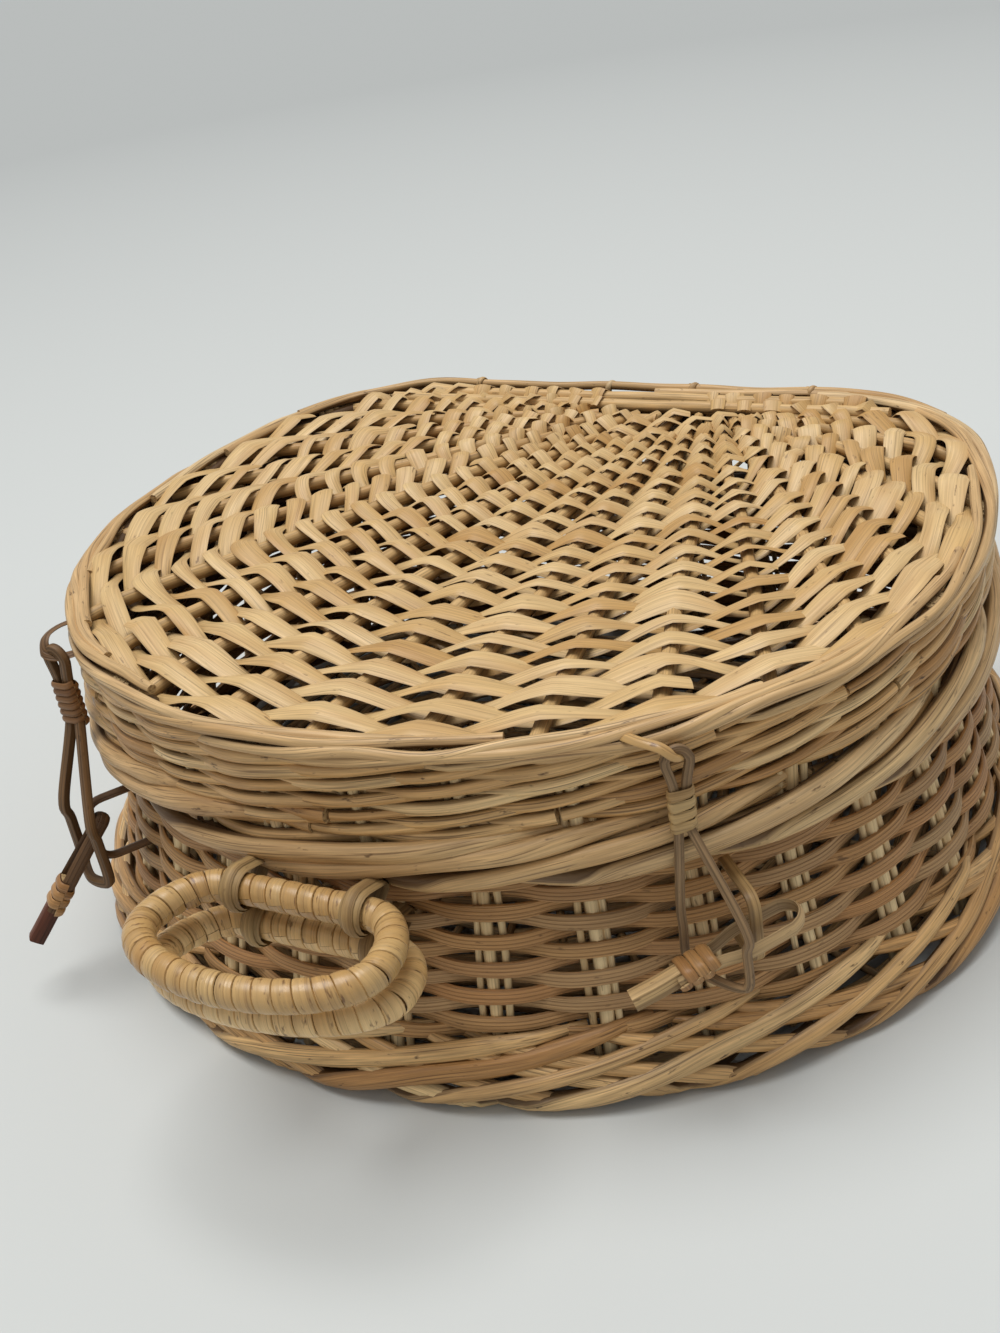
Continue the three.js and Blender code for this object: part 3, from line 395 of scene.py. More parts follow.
def fibre(name, tones, stain, dark_fleck_and_shade, fine=1.1, streak=0.25, stains=0.4, flecks=0.6, fleck_from=0.66,
          cracks=0.35, unshaded_depth=0.0, full_shade_depth=-1.0, painted_shade=0.5, ridges=0.0, relief=0.25, rough=0.5, gloss=0.3):
    """Split or round plant fibre: a tone for each strand, fibres and cracks along it, stains and flecks.
    The side turned into the weave is painted darker, from the unshaded depth in millimetres down to the fully
    shaded one: painted shade for the grooves between strands, with a little of the duller underside of split
    strips."""
    shader = Shader(name)
    grain = shader.attribute("grain", "Vector")
    tint = shader.attribute("tint", "Fac")
    place = shader.node("ShaderNodeSeparateXYZ", {0: grain}).outputs
    fibres = shader.noise(grain, (0.035, fine, fine), 3.0, 0.6)
    patches = shader.noise(grain, (0.018, 0.1, 0.1), 2.0)
    spots = shader.noise(grain, (0.13, 0.42, 0.42), 3.0, 0.55)
    lines = shader.noise(grain, (0.014, 1.3 * fine, 1.3 * fine), 1.0)
    dark_fleck_and_shade = colour(*dark_fleck_and_shade)
    stops = [(index / (len(tones) - 1), colour(*tone)) for index, tone in enumerate(tones)]
    value = shader.remap(fibres, NOISE_LOW, NOISE_HIGH, 1.0 - streak, 1.0 + streak * 0.5)
    base = shader.mix(1.0, shader.ramp(tint, stops), value, "MULTIPLY")
    base = shader.mix(shader.remap(patches, 0.45, 0.75, 0.0, stains), base, colour(*stain))
    base = shader.mix(shader.remap(spots, fleck_from, fleck_from + 0.08, 0.0, flecks), base, dark_fleck_and_shade)
    base = shader.mix(shader.remap(lines, 0.6, 0.68, 0.0, cracks), base, dark_fleck_and_shade)
    # Painted shade: the side turned into the weave darkens towards the fleck colour, standing in for shade in
    # the grooves between strands.
    base = shader.mix(shader.remap(place["Z"], full_shade_depth, unshaded_depth, painted_shade, 0.0), base, dark_fleck_and_shade)
    height = fibres
    if ridges:
        wave = shader.maths("SINE", shader.maths("MULTIPLY", place["Y"], 2 * math.pi / ridges), 0.0)
        groove = shader.remap(wave, -1.0, -0.3, 1.0, 0.0)
        base = shader.mix(shader.maths("MULTIPLY", groove, 0.34), base, dark_fleck_and_shade)
        height = shader.maths("SUBTRACT", fibres, shader.maths("MULTIPLY", groove, 1.2))
    roughness = shader.remap(fibres, NOISE_LOW, NOISE_HIGH, rough + 0.12, rough - 0.08)
    normal = shader.bump(height, relief, FIBRE_BUMP)
    shader.give(Base_Color=base, Roughness=roughness, Specular_IOR_Level=gloss, Normal=normal)
    return shader.material


def cut_end():
    """Pale pith and rings on the cut end of a rod."""
    shader = Shader("cut_end")
    rings = shader.noise(shader.attribute("grain", "Vector"), (0.2, 0.9, 0.9), 3.0)
    base = shader.ramp(rings, [(0.35, colour(122, 92, 58)), (0.55, colour(190, 160, 112))])
    shader.give(Base_Color=base, Roughness=0.75, Normal=shader.bump(rings, 0.4, PITH_BUMP))
    return shader.material


CUT_END = cut_end()
STRAW = fibre(
    "split_willow", [(194, 152, 92), (214, 180, 124), (222, 190, 138), (206, 168, 108)],
    (178, 130, 72), (88, 54, 26), fine=1.3, streak=0.24, stains=0.55, rough=0.42, gloss=0.4,
    full_shade_depth=-0.6, painted_shade=0.7,
)
SPOKE = fibre(
    "lid_spokes", [(202, 164, 108), (214, 178, 124), (190, 150, 96)],
    (172, 128, 76), (78, 50, 26), streak=0.35, rough=0.45, unshaded_depth=1.2, painted_shade=0.6,
)
# Border rods: paler willow, made lighter still as painted light, to offset the shade that falls on the lid's
# borders.
BORDER_RODS_PAINTED_LIGHTER = fibre(
    "border_rods", [(198, 160, 108), (220, 186, 134), (208, 170, 118), (232, 204, 156)],
    (164, 122, 76), (76, 48, 24), streak=0.34, stains=0.5, flecks=0.75, rough=0.45, gloss=0.4,
    unshaded_depth=0.9, full_shade_depth=-0.9, painted_shade=0.8, cracks=0.55,
)
ROD = fibre(
    "willow_rods", [(178, 131, 77), (222, 181, 122), (198, 151, 93), (240, 207, 151)],
    (158, 114, 66), (60, 36, 17), streak=0.42, stains=0.5, flecks=0.85, rough=0.42, gloss=0.42,
    relief=0.4, unshaded_depth=1.7, full_shade_depth=-0.6, painted_shade=0.85, cracks=0.6,
)
STAKE = fibre(
    "pale_stakes", [(218, 188, 138), (238, 212, 164), (226, 198, 148)],
    (178, 136, 88), (84, 56, 32), unshaded_depth=0.8, full_shade_depth=-0.4,
)
WEAVER = fibre(
    "brown_weavers", [(178, 136, 88), (200, 154, 98), (188, 138, 86), (184, 150, 106)],
    (142, 102, 62), (72, 48, 26), fine=1.3, ridges=1.6, gloss=0.35, relief=0.5,
)
CANE = fibre(
    "wrapping_cane", [(192, 154, 98), (204, 170, 116), (184, 144, 88)],
    (164, 118, 66), (96, 60, 32), fine=0.9, streak=0.2, flecks=0.75, fleck_from=0.61, rough=0.3,
    gloss=0.5,
)
# Painted light: the same cane as the upper handle's, painted lighter for the lower handle to offset the
# shadow that the upper ring casts on it.
LOWER_CANE_PAINTED_LIGHTER = fibre(
    "wrapping_cane_painted_lighter", [(222, 184, 126), (234, 201, 145), (216, 176, 116)],
    (176, 132, 78), (100, 66, 36), fine=0.9, streak=0.2, flecks=0.75, fleck_from=0.61, rough=0.34,
    gloss=0.45,
)
PEG_STRIP = fibre(
    "peg_strip", [(188, 156, 110), (198, 166, 120)],
    (150, 114, 70), (76, 50, 28), fine=1.6, streak=0.4,
)
OLIVE = fibre(
    "olive_cane", [(156, 126, 82), (172, 144, 98), (146, 114, 72)],
    (120, 88, 54), (62, 42, 24), streak=0.4, rough=0.55,
)
BROWN = fibre(
    "brown_cane", [(146, 118, 84), (136, 106, 72), (158, 130, 96)],
    (108, 80, 50), (56, 38, 22), streak=0.4, ridges=1.9, relief=0.4,
)
# Darker copies of the brown cane and the winding for the left closure: partly a darker cane, partly painted
# shade for the side turned away from the light.
DARK_CANE_PAINTED_SHADE = fibre(
    "dark_cane_painted_shade", [(122, 92, 60), (108, 78, 50), (134, 102, 68)],
    (88, 60, 36), (46, 30, 18), streak=0.4, ridges=1.9, relief=0.4,
)
BINDING = fibre(
    "binding_cane", [(172, 126, 72), (182, 138, 86), (158, 112, 64)],
    (136, 92, 50), (70, 46, 25), streak=0.4, rough=0.42, gloss=0.45,
)
WINDING = fibre(
    "neck_winding", [(186, 152, 100), (196, 164, 112), (176, 140, 90)],
    (146, 108, 62), (76, 50, 28), streak=0.35, rough=0.45, gloss=0.4,
)
DARK_WINDING_PAINTED_SHADE = fibre(
    "dark_winding_painted_shade", [(142, 100, 60), (152, 110, 68), (130, 90, 54)],
    (104, 70, 40), (56, 36, 20), streak=0.35, rough=0.45, gloss=0.4,
)
STICK = fibre(
    "split_stick", [(200, 166, 116), (210, 178, 130)],
    (164, 122, 74), (84, 56, 32), streak=0.4, rough=0.6,
)
BARK = fibre(
    "stick_with_bark", [(108, 60, 38), (96, 52, 34)],
    (150, 104, 66), (50, 28, 18), streak=0.45, stains=0.6, rough=0.55,
)


# Rods in rows and borders
ROPE_STEP = 5.0
TWIST_STEP = 4.0
TWIST_RODS = 3
TWIST_THIN_END = 60.0


def rope(weave, profile, rods, lay, half_width, half_thick, first, span, tuck=0.14, sink=7.0, end_sink=None,
         turn=1, stray=0.025, tip=0.5):
    """Rods laid at a slant over a border: each climbs the profile and is tucked in at its ends."""
    end_sink = sink if end_sink is None else end_sink
    line = curve(profile, 1.0)
    reach = lengths(line)
    slope = unit(np.gradient(line, axis=0))
    for rod in range(rods):
        start = first + span * (rod + weave.random.uniform(-0.2, 0.2)) / rods
        length = lay * weave.random.uniform(0.85, 1.15)
        t = np.linspace(0.0, 1.0, int(length / ROPE_STEP))
        s = start + turn * length * t
        share = (1 + 2 * tuck) * t - tuck + stray * weave.wander(s, 90.0)
        place = np.clip(share, 0.0, 1.0) * reach[-1]
        buried = (sink * np.maximum(0.0, -share) + end_sink * np.maximum(0.0, share - 1.0)) / tuck
        out = np.interp(place, reach, line[:, 0]) - buried
        z = np.interp(place, reach, line[:, 1])
        normal = outward(s) * np.interp(place, reach, slope[:, 1])[:, None]
        normal = normal - UP * np.interp(place, reach, slope[:, 0])[:, None]
        size = weave.random.uniform(0.82, 1.12) * (1 + 0.06 * weave.wander(s, 60.0))
        size = size * np.minimum(1.0, 0.55 + 3.0 * t) * np.minimum(1.0, tip + 2.5 * (1 - t))
        weave.strand(wall(s, out, z), normal, half_width * size, half_thick * size)


def twist(weave, middle_out, middle_z, swing_out, swing_z, radius, strand, cuts):
    """One of the rods twisted round a row of stakes, in several lengths with showing ends."""
    for first, last in zip(cuts, cuts[1:]):
        run = np.arange(first, last, TWIST_STEP)
        turn = 2 * np.pi * ((run / GROUP_SPACING - strand) - 0.5) / TWIST_RODS
        size = radius * weave.random.uniform(0.78, 1.2) * (1 + 0.07 * weave.wander(run, 80.0))
        size = size * np.interp(run, [first, first + TWIST_THIN_END], [0.72, 1.0])
        z = middle_z + swing_z * np.sin(turn) + 0.5 * weave.wander(run, 160.0)
        path = wall(run, middle_out + swing_out * np.cos(turn), z)
        weave.strand(path, outward(run), size, size)


# Base. Profiles are pairs of out and height.
BASE_STAKE_BOTTOM = 12.0
BASE_STAKE_TOP = 100.0
BASE_WEAVE_DEPTH = 3.1
BASE_ROWS = 12
BASE_FIRST_ROW = 29.1
BASE_PITCH = 5.62
WEAVER_CUTS = (0.0, 0.38, 0.7, 1.0)
WEAVER_STEPS = 16
WEAVER_BEND = 2.9
WEAVER_SHARPNESS = 1.1
WEAVER_TILT = 0.26
WEAVER_HALF_WIDTH = 3.1
WEAVER_SWELL = 0.25
WEAVER_HALF_THICK = 1.25
FOOT_INNER = ((9.0, 4.2), (13.2, 4.8), (14.0, 8.0), (12.4, 14.0), (9.2, 21.0), (5.5, 27.0))
FOOT_OUTER = ((11.0, 4.6), (14.2, 5.2), (15.4, 8.5), (14.0, 15.0), (9.5, 22.0), (6.0, 30.0))
RIM_SHIFT = 180.0
FLOOR_Z = 3.5
FLOOR_OUT = -2.5
FLOOR_CENTRE = np.array([0.0, -8.0, FLOOR_Z])
FLOOR_SPOKES = 28
FLOOR_ROWS = 25
FLOOR_SWING = 1.75
LOOP_HINGE_RADIUS = 6.4
LOOP_RIM_RADIUS = 7.4
LOOP_CANES = (-2.3, 2.3)


def base_stakes():
    weave = Weave(11)
    z = np.linspace(BASE_STAKE_BOTTOM, BASE_STAKE_TOP, 14)
    for group in range(STAKE_GROUPS):
        for offset, radius in STAKE_GROUP:
            centre = (group + 0.5) * GROUP_SPACING + offset + weave.random.uniform(-0.5, 0.5)
            s = centre + 0.7 * weave.wander(z, 120.0)
            size = radius * weave.random.uniform(0.92, 1.1)
            weave.strand(wall(s, base_out(z) - BASE_WEAVE_DEPTH, z), outward(s), size, size)
    weave.piece("base_stakes", "base", "willow", STAKE)


def base_weavers():
    """Flat weavers, in front of one group of stakes and behind the next."""
    weave = Weave(12)
    for row in range(BASE_ROWS):
        height = BASE_FIRST_ROW + BASE_PITCH * row
        phase = 0.5 if row % 2 else 1.5
        cuts = [phase + 2 * int(share * STAKE_GROUPS / 2) for share in WEAVER_CUTS]
        shift = 2 * weave.random.integers(0, 6)
        for first, last in zip(cuts, cuts[1:]):
            s = np.arange(first * GROUP_SPACING, last * GROUP_SPACING + 0.1, GROUP_SPACING / WEAVER_STEPS)
            s = s + shift * GROUP_SPACING
            swing = -np.cos(np.pi * (s / GROUP_SPACING - phase))
            bend = np.tanh(WEAVER_SHARPNESS * swing) / np.tanh(WEAVER_SHARPNESS)
            z = height + 0.7 * weave.wander(s, 150.0)
            size = 1 + 0.07 * weave.wander(s, 70.0)
            path = wall(s, base_out(z) - BASE_WEAVE_DEPTH + WEAVER_BEND * bend, z)
            half_width = size * (WEAVER_HALF_WIDTH + WEAVER_SWELL * swing)
            weave.strand(path, outward(s) + WEAVER_TILT * UP, half_width, WEAVER_HALF_THICK, FLAT)
    weave.piece("base_weavers", "base", "weaver", WEAVER, "base_wall")


def base_foot():
    """Two layers of rods that slant opposite ways."""
    weave = Weave(13)
    rope(weave, FOOT_INNER, rods=34, lay=140.0, half_width=3.8, half_thick=3.2, first=0.0, span=LENGTH,
         turn=-1)
    rope(weave, FOOT_OUTER, rods=24, lay=185.0, half_width=4.1, half_thick=3.6, first=0.0, span=LENGTH)
    weave.piece("base_foot_plait", "base", "willow", ROD, "base_foot")


def base_rim():
    weave = Weave(14)
    for strand in range(TWIST_RODS):
        cuts = np.linspace(0.0, LENGTH, 3) + RIM_SHIFT * strand
        twist(weave, RIM_OUT, RIM_MIDDLE, swing_out=2.9, swing_z=2.4, radius=2.7, strand=strand, cuts=cuts)
    weave.piece("base_rim_rods", "base", "willow", ROD, "base_rim")


def base_floor():
    """Spokes from the middle to the foot, with rings of rods over and under them."""
    weave = Weave(15)
    edge = wall(LENGTH * np.arange(FLOOR_SPOKES) / FLOOR_SPOKES, FLOOR_OUT, FLOOR_Z)
    for index, end in enumerate(edge):
        first = -0.05 if index % 4 == 0 else 0.04
        path = np.linspace(FLOOR_CENTRE + (end - FLOOR_CENTRE) * first, end, 12)
        weave.strand(path, UP, 1.9, 1.6)
    for row in range(FLOOR_ROWS):
        scale = 1.0 - (row + 0.4) / (FLOOR_ROWS + 1.0)
        count = FLOOR_SPOKES * (10 if scale > 0.4 else 6)
        turn = np.arange(count + 1) / count
        ring = wall(LENGTH * turn, FLOOR_OUT, FLOOR_Z)
        path = FLOOR_CENTRE + (ring - FLOOR_CENTRE) * scale
        side = -1 if row % 2 else 1
        path[:, 2] = FLOOR_Z + FLOOR_SWING * side * np.cos(np.pi * FLOOR_SPOKES * turn)
        weave.strand(path, UP, 2.9, 1.5)
    weave.piece("base_floor_weave", "base", "willow", ROD, "base_floor")


def hinge_loop(side, x):
    """Two canes round the lid's hinge rod and the rim of the base."""
    weave = Weave(100 + x)
    line, normals = belt((HINGE_Y, RIM_MIDDLE), LOOP_HINGE_RADIUS, (RIM_BACK_Y, RIM_MIDDLE), LOOP_RIM_RADIUS)
    line = np.vstack([line, line[:1]])
    normals = np.vstack([normals, normals[:1]])
    for offset in LOOP_CANES:
        weave.strand(crosswise(x + offset, line), crosswise(0.0, normals), 2.2, 0.9, SPLIT)
    weave.piece(f"hinge_loop_cane_{side}", "base", "brown_cane", OLIVE, f"hinge_loop_{side}")


# Lid wall and borders
LID_WEAVE_DEPTH = 4.0
LID_STAKE_TOP = 156.0
LID_ROWS = (111.0, 127.5, 134.6, 141.7, 148.8)
LID_ROW_CUTS = np.array([0.0, 0.36, 0.7, 1.0])
LOWER_BORDER = ((-5.0, 100.5), (-1.7, 100.0), (-0.2, 103.5), (0.2, 109.0), (-0.6, 115.0), (-3.7, 119.0))
TOP_BORDER = ((-2.2, 151.0), (-0.9, 154.0), (-1.6, 156.8), (-4.0, 158.2), (-8.5, 158.4))
LASHINGS = (8.0, 71.0, 118.0, 196.0)
LASHING_OUT = -3.0
LASHING_Z = 158.2

# One more row of the lid wall, which runs only along the left side and the front
PART_ROW_Z = 120.8
PART_ROW_START = BACK_END + 30.0
PART_ROW_END = LENGTH + 130.0


def lid_wall():
    weave = Weave(21)
    for row, height in enumerate(LID_ROWS):
        for strand in range(TWIST_RODS):
            cuts = weave.random.uniform(0.0, 260.0) + LENGTH * LID_ROW_CUTS
            twist(weave, lid_out(height) - LID_WEAVE_DEPTH, height, swing_out=3.2, swing_z=3.3, radius=3.05,
                  strand=strand + row, cuts=cuts)
    for strand in range(TWIST_RODS):
        cuts = [PART_ROW_START + 25.0 * strand, LENGTH - 90.0 * strand, PART_ROW_END - 30.0 * strand]
        twist(weave, lid_out(PART_ROW_Z) - LID_WEAVE_DEPTH, PART_ROW_Z, swing_out=3.2, swing_z=2.8,
              radius=2.9, strand=strand, cuts=cuts)
    weave.piece("lid_wall_rods", "lid", "willow", ROD, "lid_wall")


def lid_stakes():
    weave = Weave(22)
    z = np.linspace(BASE_TOP, LID_STAKE_TOP, 8)
    for group in range(STAKE_GROUPS):
        for offset, radius in STAKE_GROUP:
            s = np.full(len(z), (group + 0.5) * GROUP_SPACING + offset + weave.random.uniform(-1.0, 1.0))
            weave.strand(wall(s, lid_out(z) - LID_WEAVE_DEPTH, z), outward(s), radius, radius)
    weave.piece("lid_stakes", "lid", "willow", STAKE)


def lid_lower_border():
    weave = Weave(23)
    rope(weave, LOWER_BORDER, rods=16, lay=210.0, half_width=4.1, half_thick=3.9, first=BACK_END - 20.0,
         span=LENGTH - BACK_LENGTH - 90.0, sink=4.0)
    weave.piece("lid_border_rods", "lid", "willow", BORDER_RODS_PAINTED_LIGHTER, "lid_lower_border")


def lid_top_border():
    """Slanting rods round the curved sides, and one rod lashed along the back."""
    weave = Weave(24)
    rope(weave, TOP_BORDER, rods=16, lay=235.0, half_width=2.7, half_thick=2.45, first=BACK_END - 60.0,
         span=LENGTH - BACK_LENGTH - 60.0, tuck=0.07, sink=3.0, end_sink=0.0, stray=0.09, tip=0.92)
    s = np.arange(BACK_START - 70.0, BACK_END + 110.0, 5.0)
    out = -2.8 + 0.8 * weave.wander(s, 110.0)
    z = 158.4 + 0.6 * weave.wander(s, 80.0)
    weave.strand(wall(s, out, z), UP, 2.5, 2.4)
    angle = np.linspace(0.0, 2.2 * np.pi, 18)
    for place in LASHINGS:
        s = BACK_START + place + 2.0 * angle / np.pi
        lash = wall(s, LASHING_OUT + 3.2 * np.cos(angle), LASHING_Z + 3.1 * np.sin(angle))
        around = outward(s) * np.cos(angle)[:, None] + UP * np.sin(angle)[:, None]
        weave.strand(lash, around, 1.6, 0.6, SPLIT)
    weave.piece("lid_top_border_rods", "lid", "willow", BORDER_RODS_PAINTED_LIGHTER, "lid_top_border")


def lid_hinge_rod():
    weave = Weave(27)
    x = np.linspace(-HINGE_HALF, HINGE_HALF, 50)
    path = np.column_stack([x, np.full(len(x), HINGE_Y), np.full(len(x), RIM_MIDDLE)])
    size = HINGE_RADIUS * (1 + 0.015 * weave.wander(x, 60.0))
    weave.strand(path, UP, size, size, SMOOTH_ROUND)
    weave.piece("lid_hinge_willow", "lid", "willow", ROD, "lid_hinge_rod")


# Lid top: bars, spokes and rows of split willow. A back bar has its Y, half length and bare half length.
HUB_Y = 125.0
HUB_HALF = 22.0
HUB_Z = 154.6
BAR_Z = 158.0
BAR_RADIUS = 3.5
BACK_BARS = ((146.0, 120.0, 22.0), (136.0, 138.0, 9.0))
BAR_TO_BORDER = 14.0
BAR_ROW_SINK = 0.6
FAN = np.array([18.0, 138.0])
SPOKES = 21
SPOKE_START_X = 32.0
SPOKE_START_Y = 130.0
SPOKE_START_HALF = 55.0
SPOKE_END_OUT = -5.0
SPOKE_Z = 155.6
SPOKE_RADIUS = 3.2
ROW_PAIRS = 23
ROW_PITCH = 7.0
ROW_TO_START = 3.0
ROW_TO_END = 2.0
ROW_TO_BORDER = 4.0
ROW_SPREAD = 0.618
CROWDING = 0.8
PAIRS_BEFORE_BY_SPOKES = 4
STRIP_RISE = 5.0
STRIP_STEP = 2.6
STRIP_TAIL = 11.0
STRIP_TAIL_SINK = 0.6
STRIP_HALF_THICK = 0.8
STRIP_CROSSINGS = (6, 11)
SHORTEST_STRIP = 4


class FanLine:
    """A bar or spoke that the lid's rows cross. Rows are spaced out from the fan's centre to the border."""

    def __init__(self, start, end, height, past_end=0.0, added=False):
        self.start = np.array(start)
        self.heading = unit(np.array(end) - self.start)
        self.length = np.linalg.norm(np.array(end) - self.start)
        self.height = height
        self.added = added
        self.from_centre = np.linalg.norm(self.start - FAN)
        self.woven = self.from_centre + self.length + past_end - ROW_TO_BORDER
        self.pairs = min(ROW_PAIRS, round(self.woven / (2 * ROW_PITCH)))
        spread = np.arange(ROW_PAIRS) * ROW_SPREAD % 1.0
        self.kept = np.argsort(np.argsort(spread)) < self.pairs

    def row_distance(self, pair, twin):
        """Distance from the line's start to a row, and the row spacing there."""
        share = (2 * np.count_nonzero(self.kept[:pair]) + twin + 0.5) / (2 * self.pairs)
        pitch = self.woven / (2 * self.pairs) * (CROWDING + 2 * (1 - CROWDING) * share)
        return self.woven * share * (CROWDING + (1 - CROWDING) * share) - self.from_centre, pitch

    def crossing(self, row):
        """Point, height and row spacing where a row crosses, or None where the line leaves it out."""
        pair, twin = divmod(row, 2)
        distance, pitch = self.row_distance(pair, twin)
        early = self.added and pair < PAIRS_BEFORE_BY_SPOKES
        if early or not self.kept[pair] or not ROW_TO_START < distance < self.length - ROW_TO_END:
            return None
        return self.start + self.heading * distance, self.height, pitch


def fan_lines():
    """Bars and spokes in the order that a row meets them, from the right round the front to the left."""
    corner_s = BACK_START - CORNER_RADIUS * math.radians(45.0)
    turn = np.linspace(1.0, -1.0, SPOKES)
    ends = wall(corner_s * turn, SPOKE_END_OUT, 0.0)[:, :2]
    spokes = []
    for index, end in enumerate(ends):
        start = (SPOKE_START_X + SPOKE_START_HALF * turn[index], SPOKE_START_Y)
        spokes.append(FanLine(start, end, SPOKE_Z, added=index % 2 == 1))
    right = []
    left = []
    height = BAR_Z - BAR_ROW_SINK
    for y, half, bare in BACK_BARS:
        right.append(FanLine((FAN[0] + bare, y), (half, y), height, BAR_TO_BORDER))
        left.insert(0, FanLine((FAN[0] - bare, y), (-half, y), height, BAR_TO_BORDER))
    return right, spokes, left


def lid_spokes():
    """Spokes that start at the hub bar, and others added between them further out."""
    weave = Weave(25)
    for line in fan_lines()[1]:
        first = 0.0
        if line.added:
            first = max(0.0, line.row_distance(PAIRS_BEFORE_BY_SPOKES, 0)[0] - 5.0)
        t = np.linspace(first, line.length, 16)
        side = np.array([-line.heading[1], line.heading[0]])
        bow = 1.6 * np.sin(np.pi * t / line.length) * weave.wander(t, 120.0)
        flat = line.start + line.heading * t[:, None] + side * bow[:, None]
        z = SPOKE_Z - np.interp(t, [line.length - 24.0, line.length], [0.0, 4.0])
        taper = np.interp(t, [0.0, 60.0, 300.0], [0.8, 0.95, 1.05])
        size = SPOKE_RADIUS * weave.random.uniform(0.9, 1.1) * taper
        weave.strand(np.column_stack([flat, z]), UP, size, size)
    weave.piece("lid_spokes", "lid", "willow", SPOKE)


def lid_bar(name, y, z, half):
    weave = Weave(int(y))
    x = np.linspace(-half, half, 40)
    path = np.column_stack([x, y + 0.5 * weave.wander(x, 90.0), np.full(len(x), z)])
    size = BAR_RADIUS * (1 + 0.04 * weave.wander(x, 50.0))
    weave.strand(path, UP, size, size)
    weave.piece(f"{name}_rod", "lid", "willow", SPOKE, name)


def row_runs(row):
    """Unbroken runs of a row's crossings: (order, point, middle height, row spacing)."""
    right, spokes, left = fan_lines()
    if row // 2 < PAIRS_BEFORE_BY_SPOKES:
        spokes = spokes[::2]
    runs = [[]]
    for order, line in enumerate(right + spokes + left):
        crossing = line.crossing(row)
        if crossing:
            runs[-1].append((order, *crossing))
        elif runs[-1]:
            runs.append([])
    return [run for run in runs if len(run) > 1]


def tail_end(end, before):
    """A point a little past the end of a strip."""
    step = end - before
    return end + step * min(0.5, STRIP_TAIL / np.linalg.norm(step))


def weave_run(weave, row, run, scale):
    """One strip over and under the crossings of a run."""
    points = np.array([point for _, point, _, _ in run])
    first = tail_end(points[0], points[1])
    last = tail_end(points[-1], points[-2])
    padded = np.vstack([first, points, last])
    flat = [first[None]]
    middle = [[run[0][2]]]
    pitch = [[run[0][3]]]
    side = 1 if (run[0][0] + row) % 2 == 0 else -1
    over = [[side - STRIP_TAIL_SINK]]
    for index, (before, after) in enumerate(zip(run, run[1:])):
        a, b, c, d = padded[index:index + 4]
        t = np.linspace(0.0, 1.0, max(5, int(np.linalg.norm(c - b) / STRIP_STEP)), endpoint=False)
        flat.append(between(a, b, c, d, t[:, None]))
        middle.append(before[2] + (after[2] - before[2]) * t)
        pitch.append(before[3] + (after[3] - before[3]) * t)
        over.append(side * (0.55 * np.cos(np.pi * t) + 0.45 * (1 - 2 * t)))
        side = -side
    flat = np.vstack(flat + [points[-1:], last[None]])
    middle = np.concatenate(middle + [[run[-1][2]] * 2])
    pitch = np.concatenate(pitch + [[run[-1][3]] * 2])
    over = np.concatenate(over + [[side, side - STRIP_TAIL_SINK]])
    s = np.arange(len(flat)) * STRIP_STEP
    tangent = np.column_stack([unit(np.gradient(flat, axis=0)), np.zeros(len(flat))])
    outside = np.cross(UP, tangent)
    rise = STRIP_RISE * weave.random.uniform(0.92, 1.1)
    path = np.column_stack([flat, middle + rise * over])
    path = path + outside * (1.2 * weave.wander(s, 110.0))[:, None]
    lean = np.radians(11.0) * weave.wander(s, 60.0)
    width = scale * (0.86 * pitch - 1.5) * (1 + 0.18 * weave.wander(s, 110.0)) * (0.84 + 0.16 * over)
    weave.strand(path, UP + outside * np.tan(lean)[:, None], width, STRIP_HALF_THICK, SPLIT)


def lid_weave():
    """Rows of strips, each over some crossings of its row and overlapping the next at one of them."""
    weave = Weave(26)
    for row in range(2 * ROW_PAIRS):
        for run in row_runs(row):
            place = 0
            while place < len(run) - 1:
                stop = place + int(weave.random.integers(*STRIP_CROSSINGS))
                stop += (run[0][0] + row + stop) % 2
                if len(run) - stop < SHORTEST_STRIP:
                    stop = len(run)
                weave_run(weave, row, run[place:stop], weave.random.uniform(0.78, 1.15))
                place = stop - 1
    weave.piece("lid_weave", "lid", "cane", STRAW, "lid_panel")


# Handles. A pivot is the Y and Z of a handle's straight run.
UPPER_PIVOT = (-207.01, 98.0)
LOWER_PIVOT = (-201.01, 76.0)
UPPER_TILT = 2.0
LOWER_TILT = 9.0
UPPER_TAIL_Y = -193.5
LOWER_TAIL_Y = -181.0
HANDLE_HALF_WIDTH = 51.0
HANDLE_STRAIGHT_HALF = 31.0
HANDLE_DEPTH = 54.0
HANDLE_RADIUS = 5.0
WRAP_TURNS = 37
WRAP_STEPS = 18
WRAP_RADIUS = 5.8
TIE_X = 27.0
TIE_RADIUS = 8.0
TIE_TAIL_RADIUS = 2.0
TIE_TAIL_RISE = 1.8
TIE_LEAN = 1.6


def handle_line():
    """The ring in its own plane, from the middle of its straight run."""
    half = HANDLE_DEPTH / 2
    corner = HANDLE_HALF_WIDTH - HANDLE_STRAIGHT_HALF
    arcs = [
        (-HANDLE_STRAIGHT_HALF, corner, 90.0, 180.0),
        (0.0, HANDLE_HALF_WIDTH, 180.0, 360.0),
        (HANDLE_STRAIGHT_HALF, corner, 0.0, 90.0),
    ]
    middle = np.zeros((1, 2))
    points = [middle]
    for x, radius, first, last in arcs:
        turn = heading(np.linspace(first, last, 90))
        points.append(np.array([x, -half]) + turn * np.array([radius, half]))
    line = np.vstack(points + [middle])
    apart = np.linalg.norm(np.diff(line, axis=0), axis=1) > 1e-6
    return line[np.concatenate([[True], apart])]


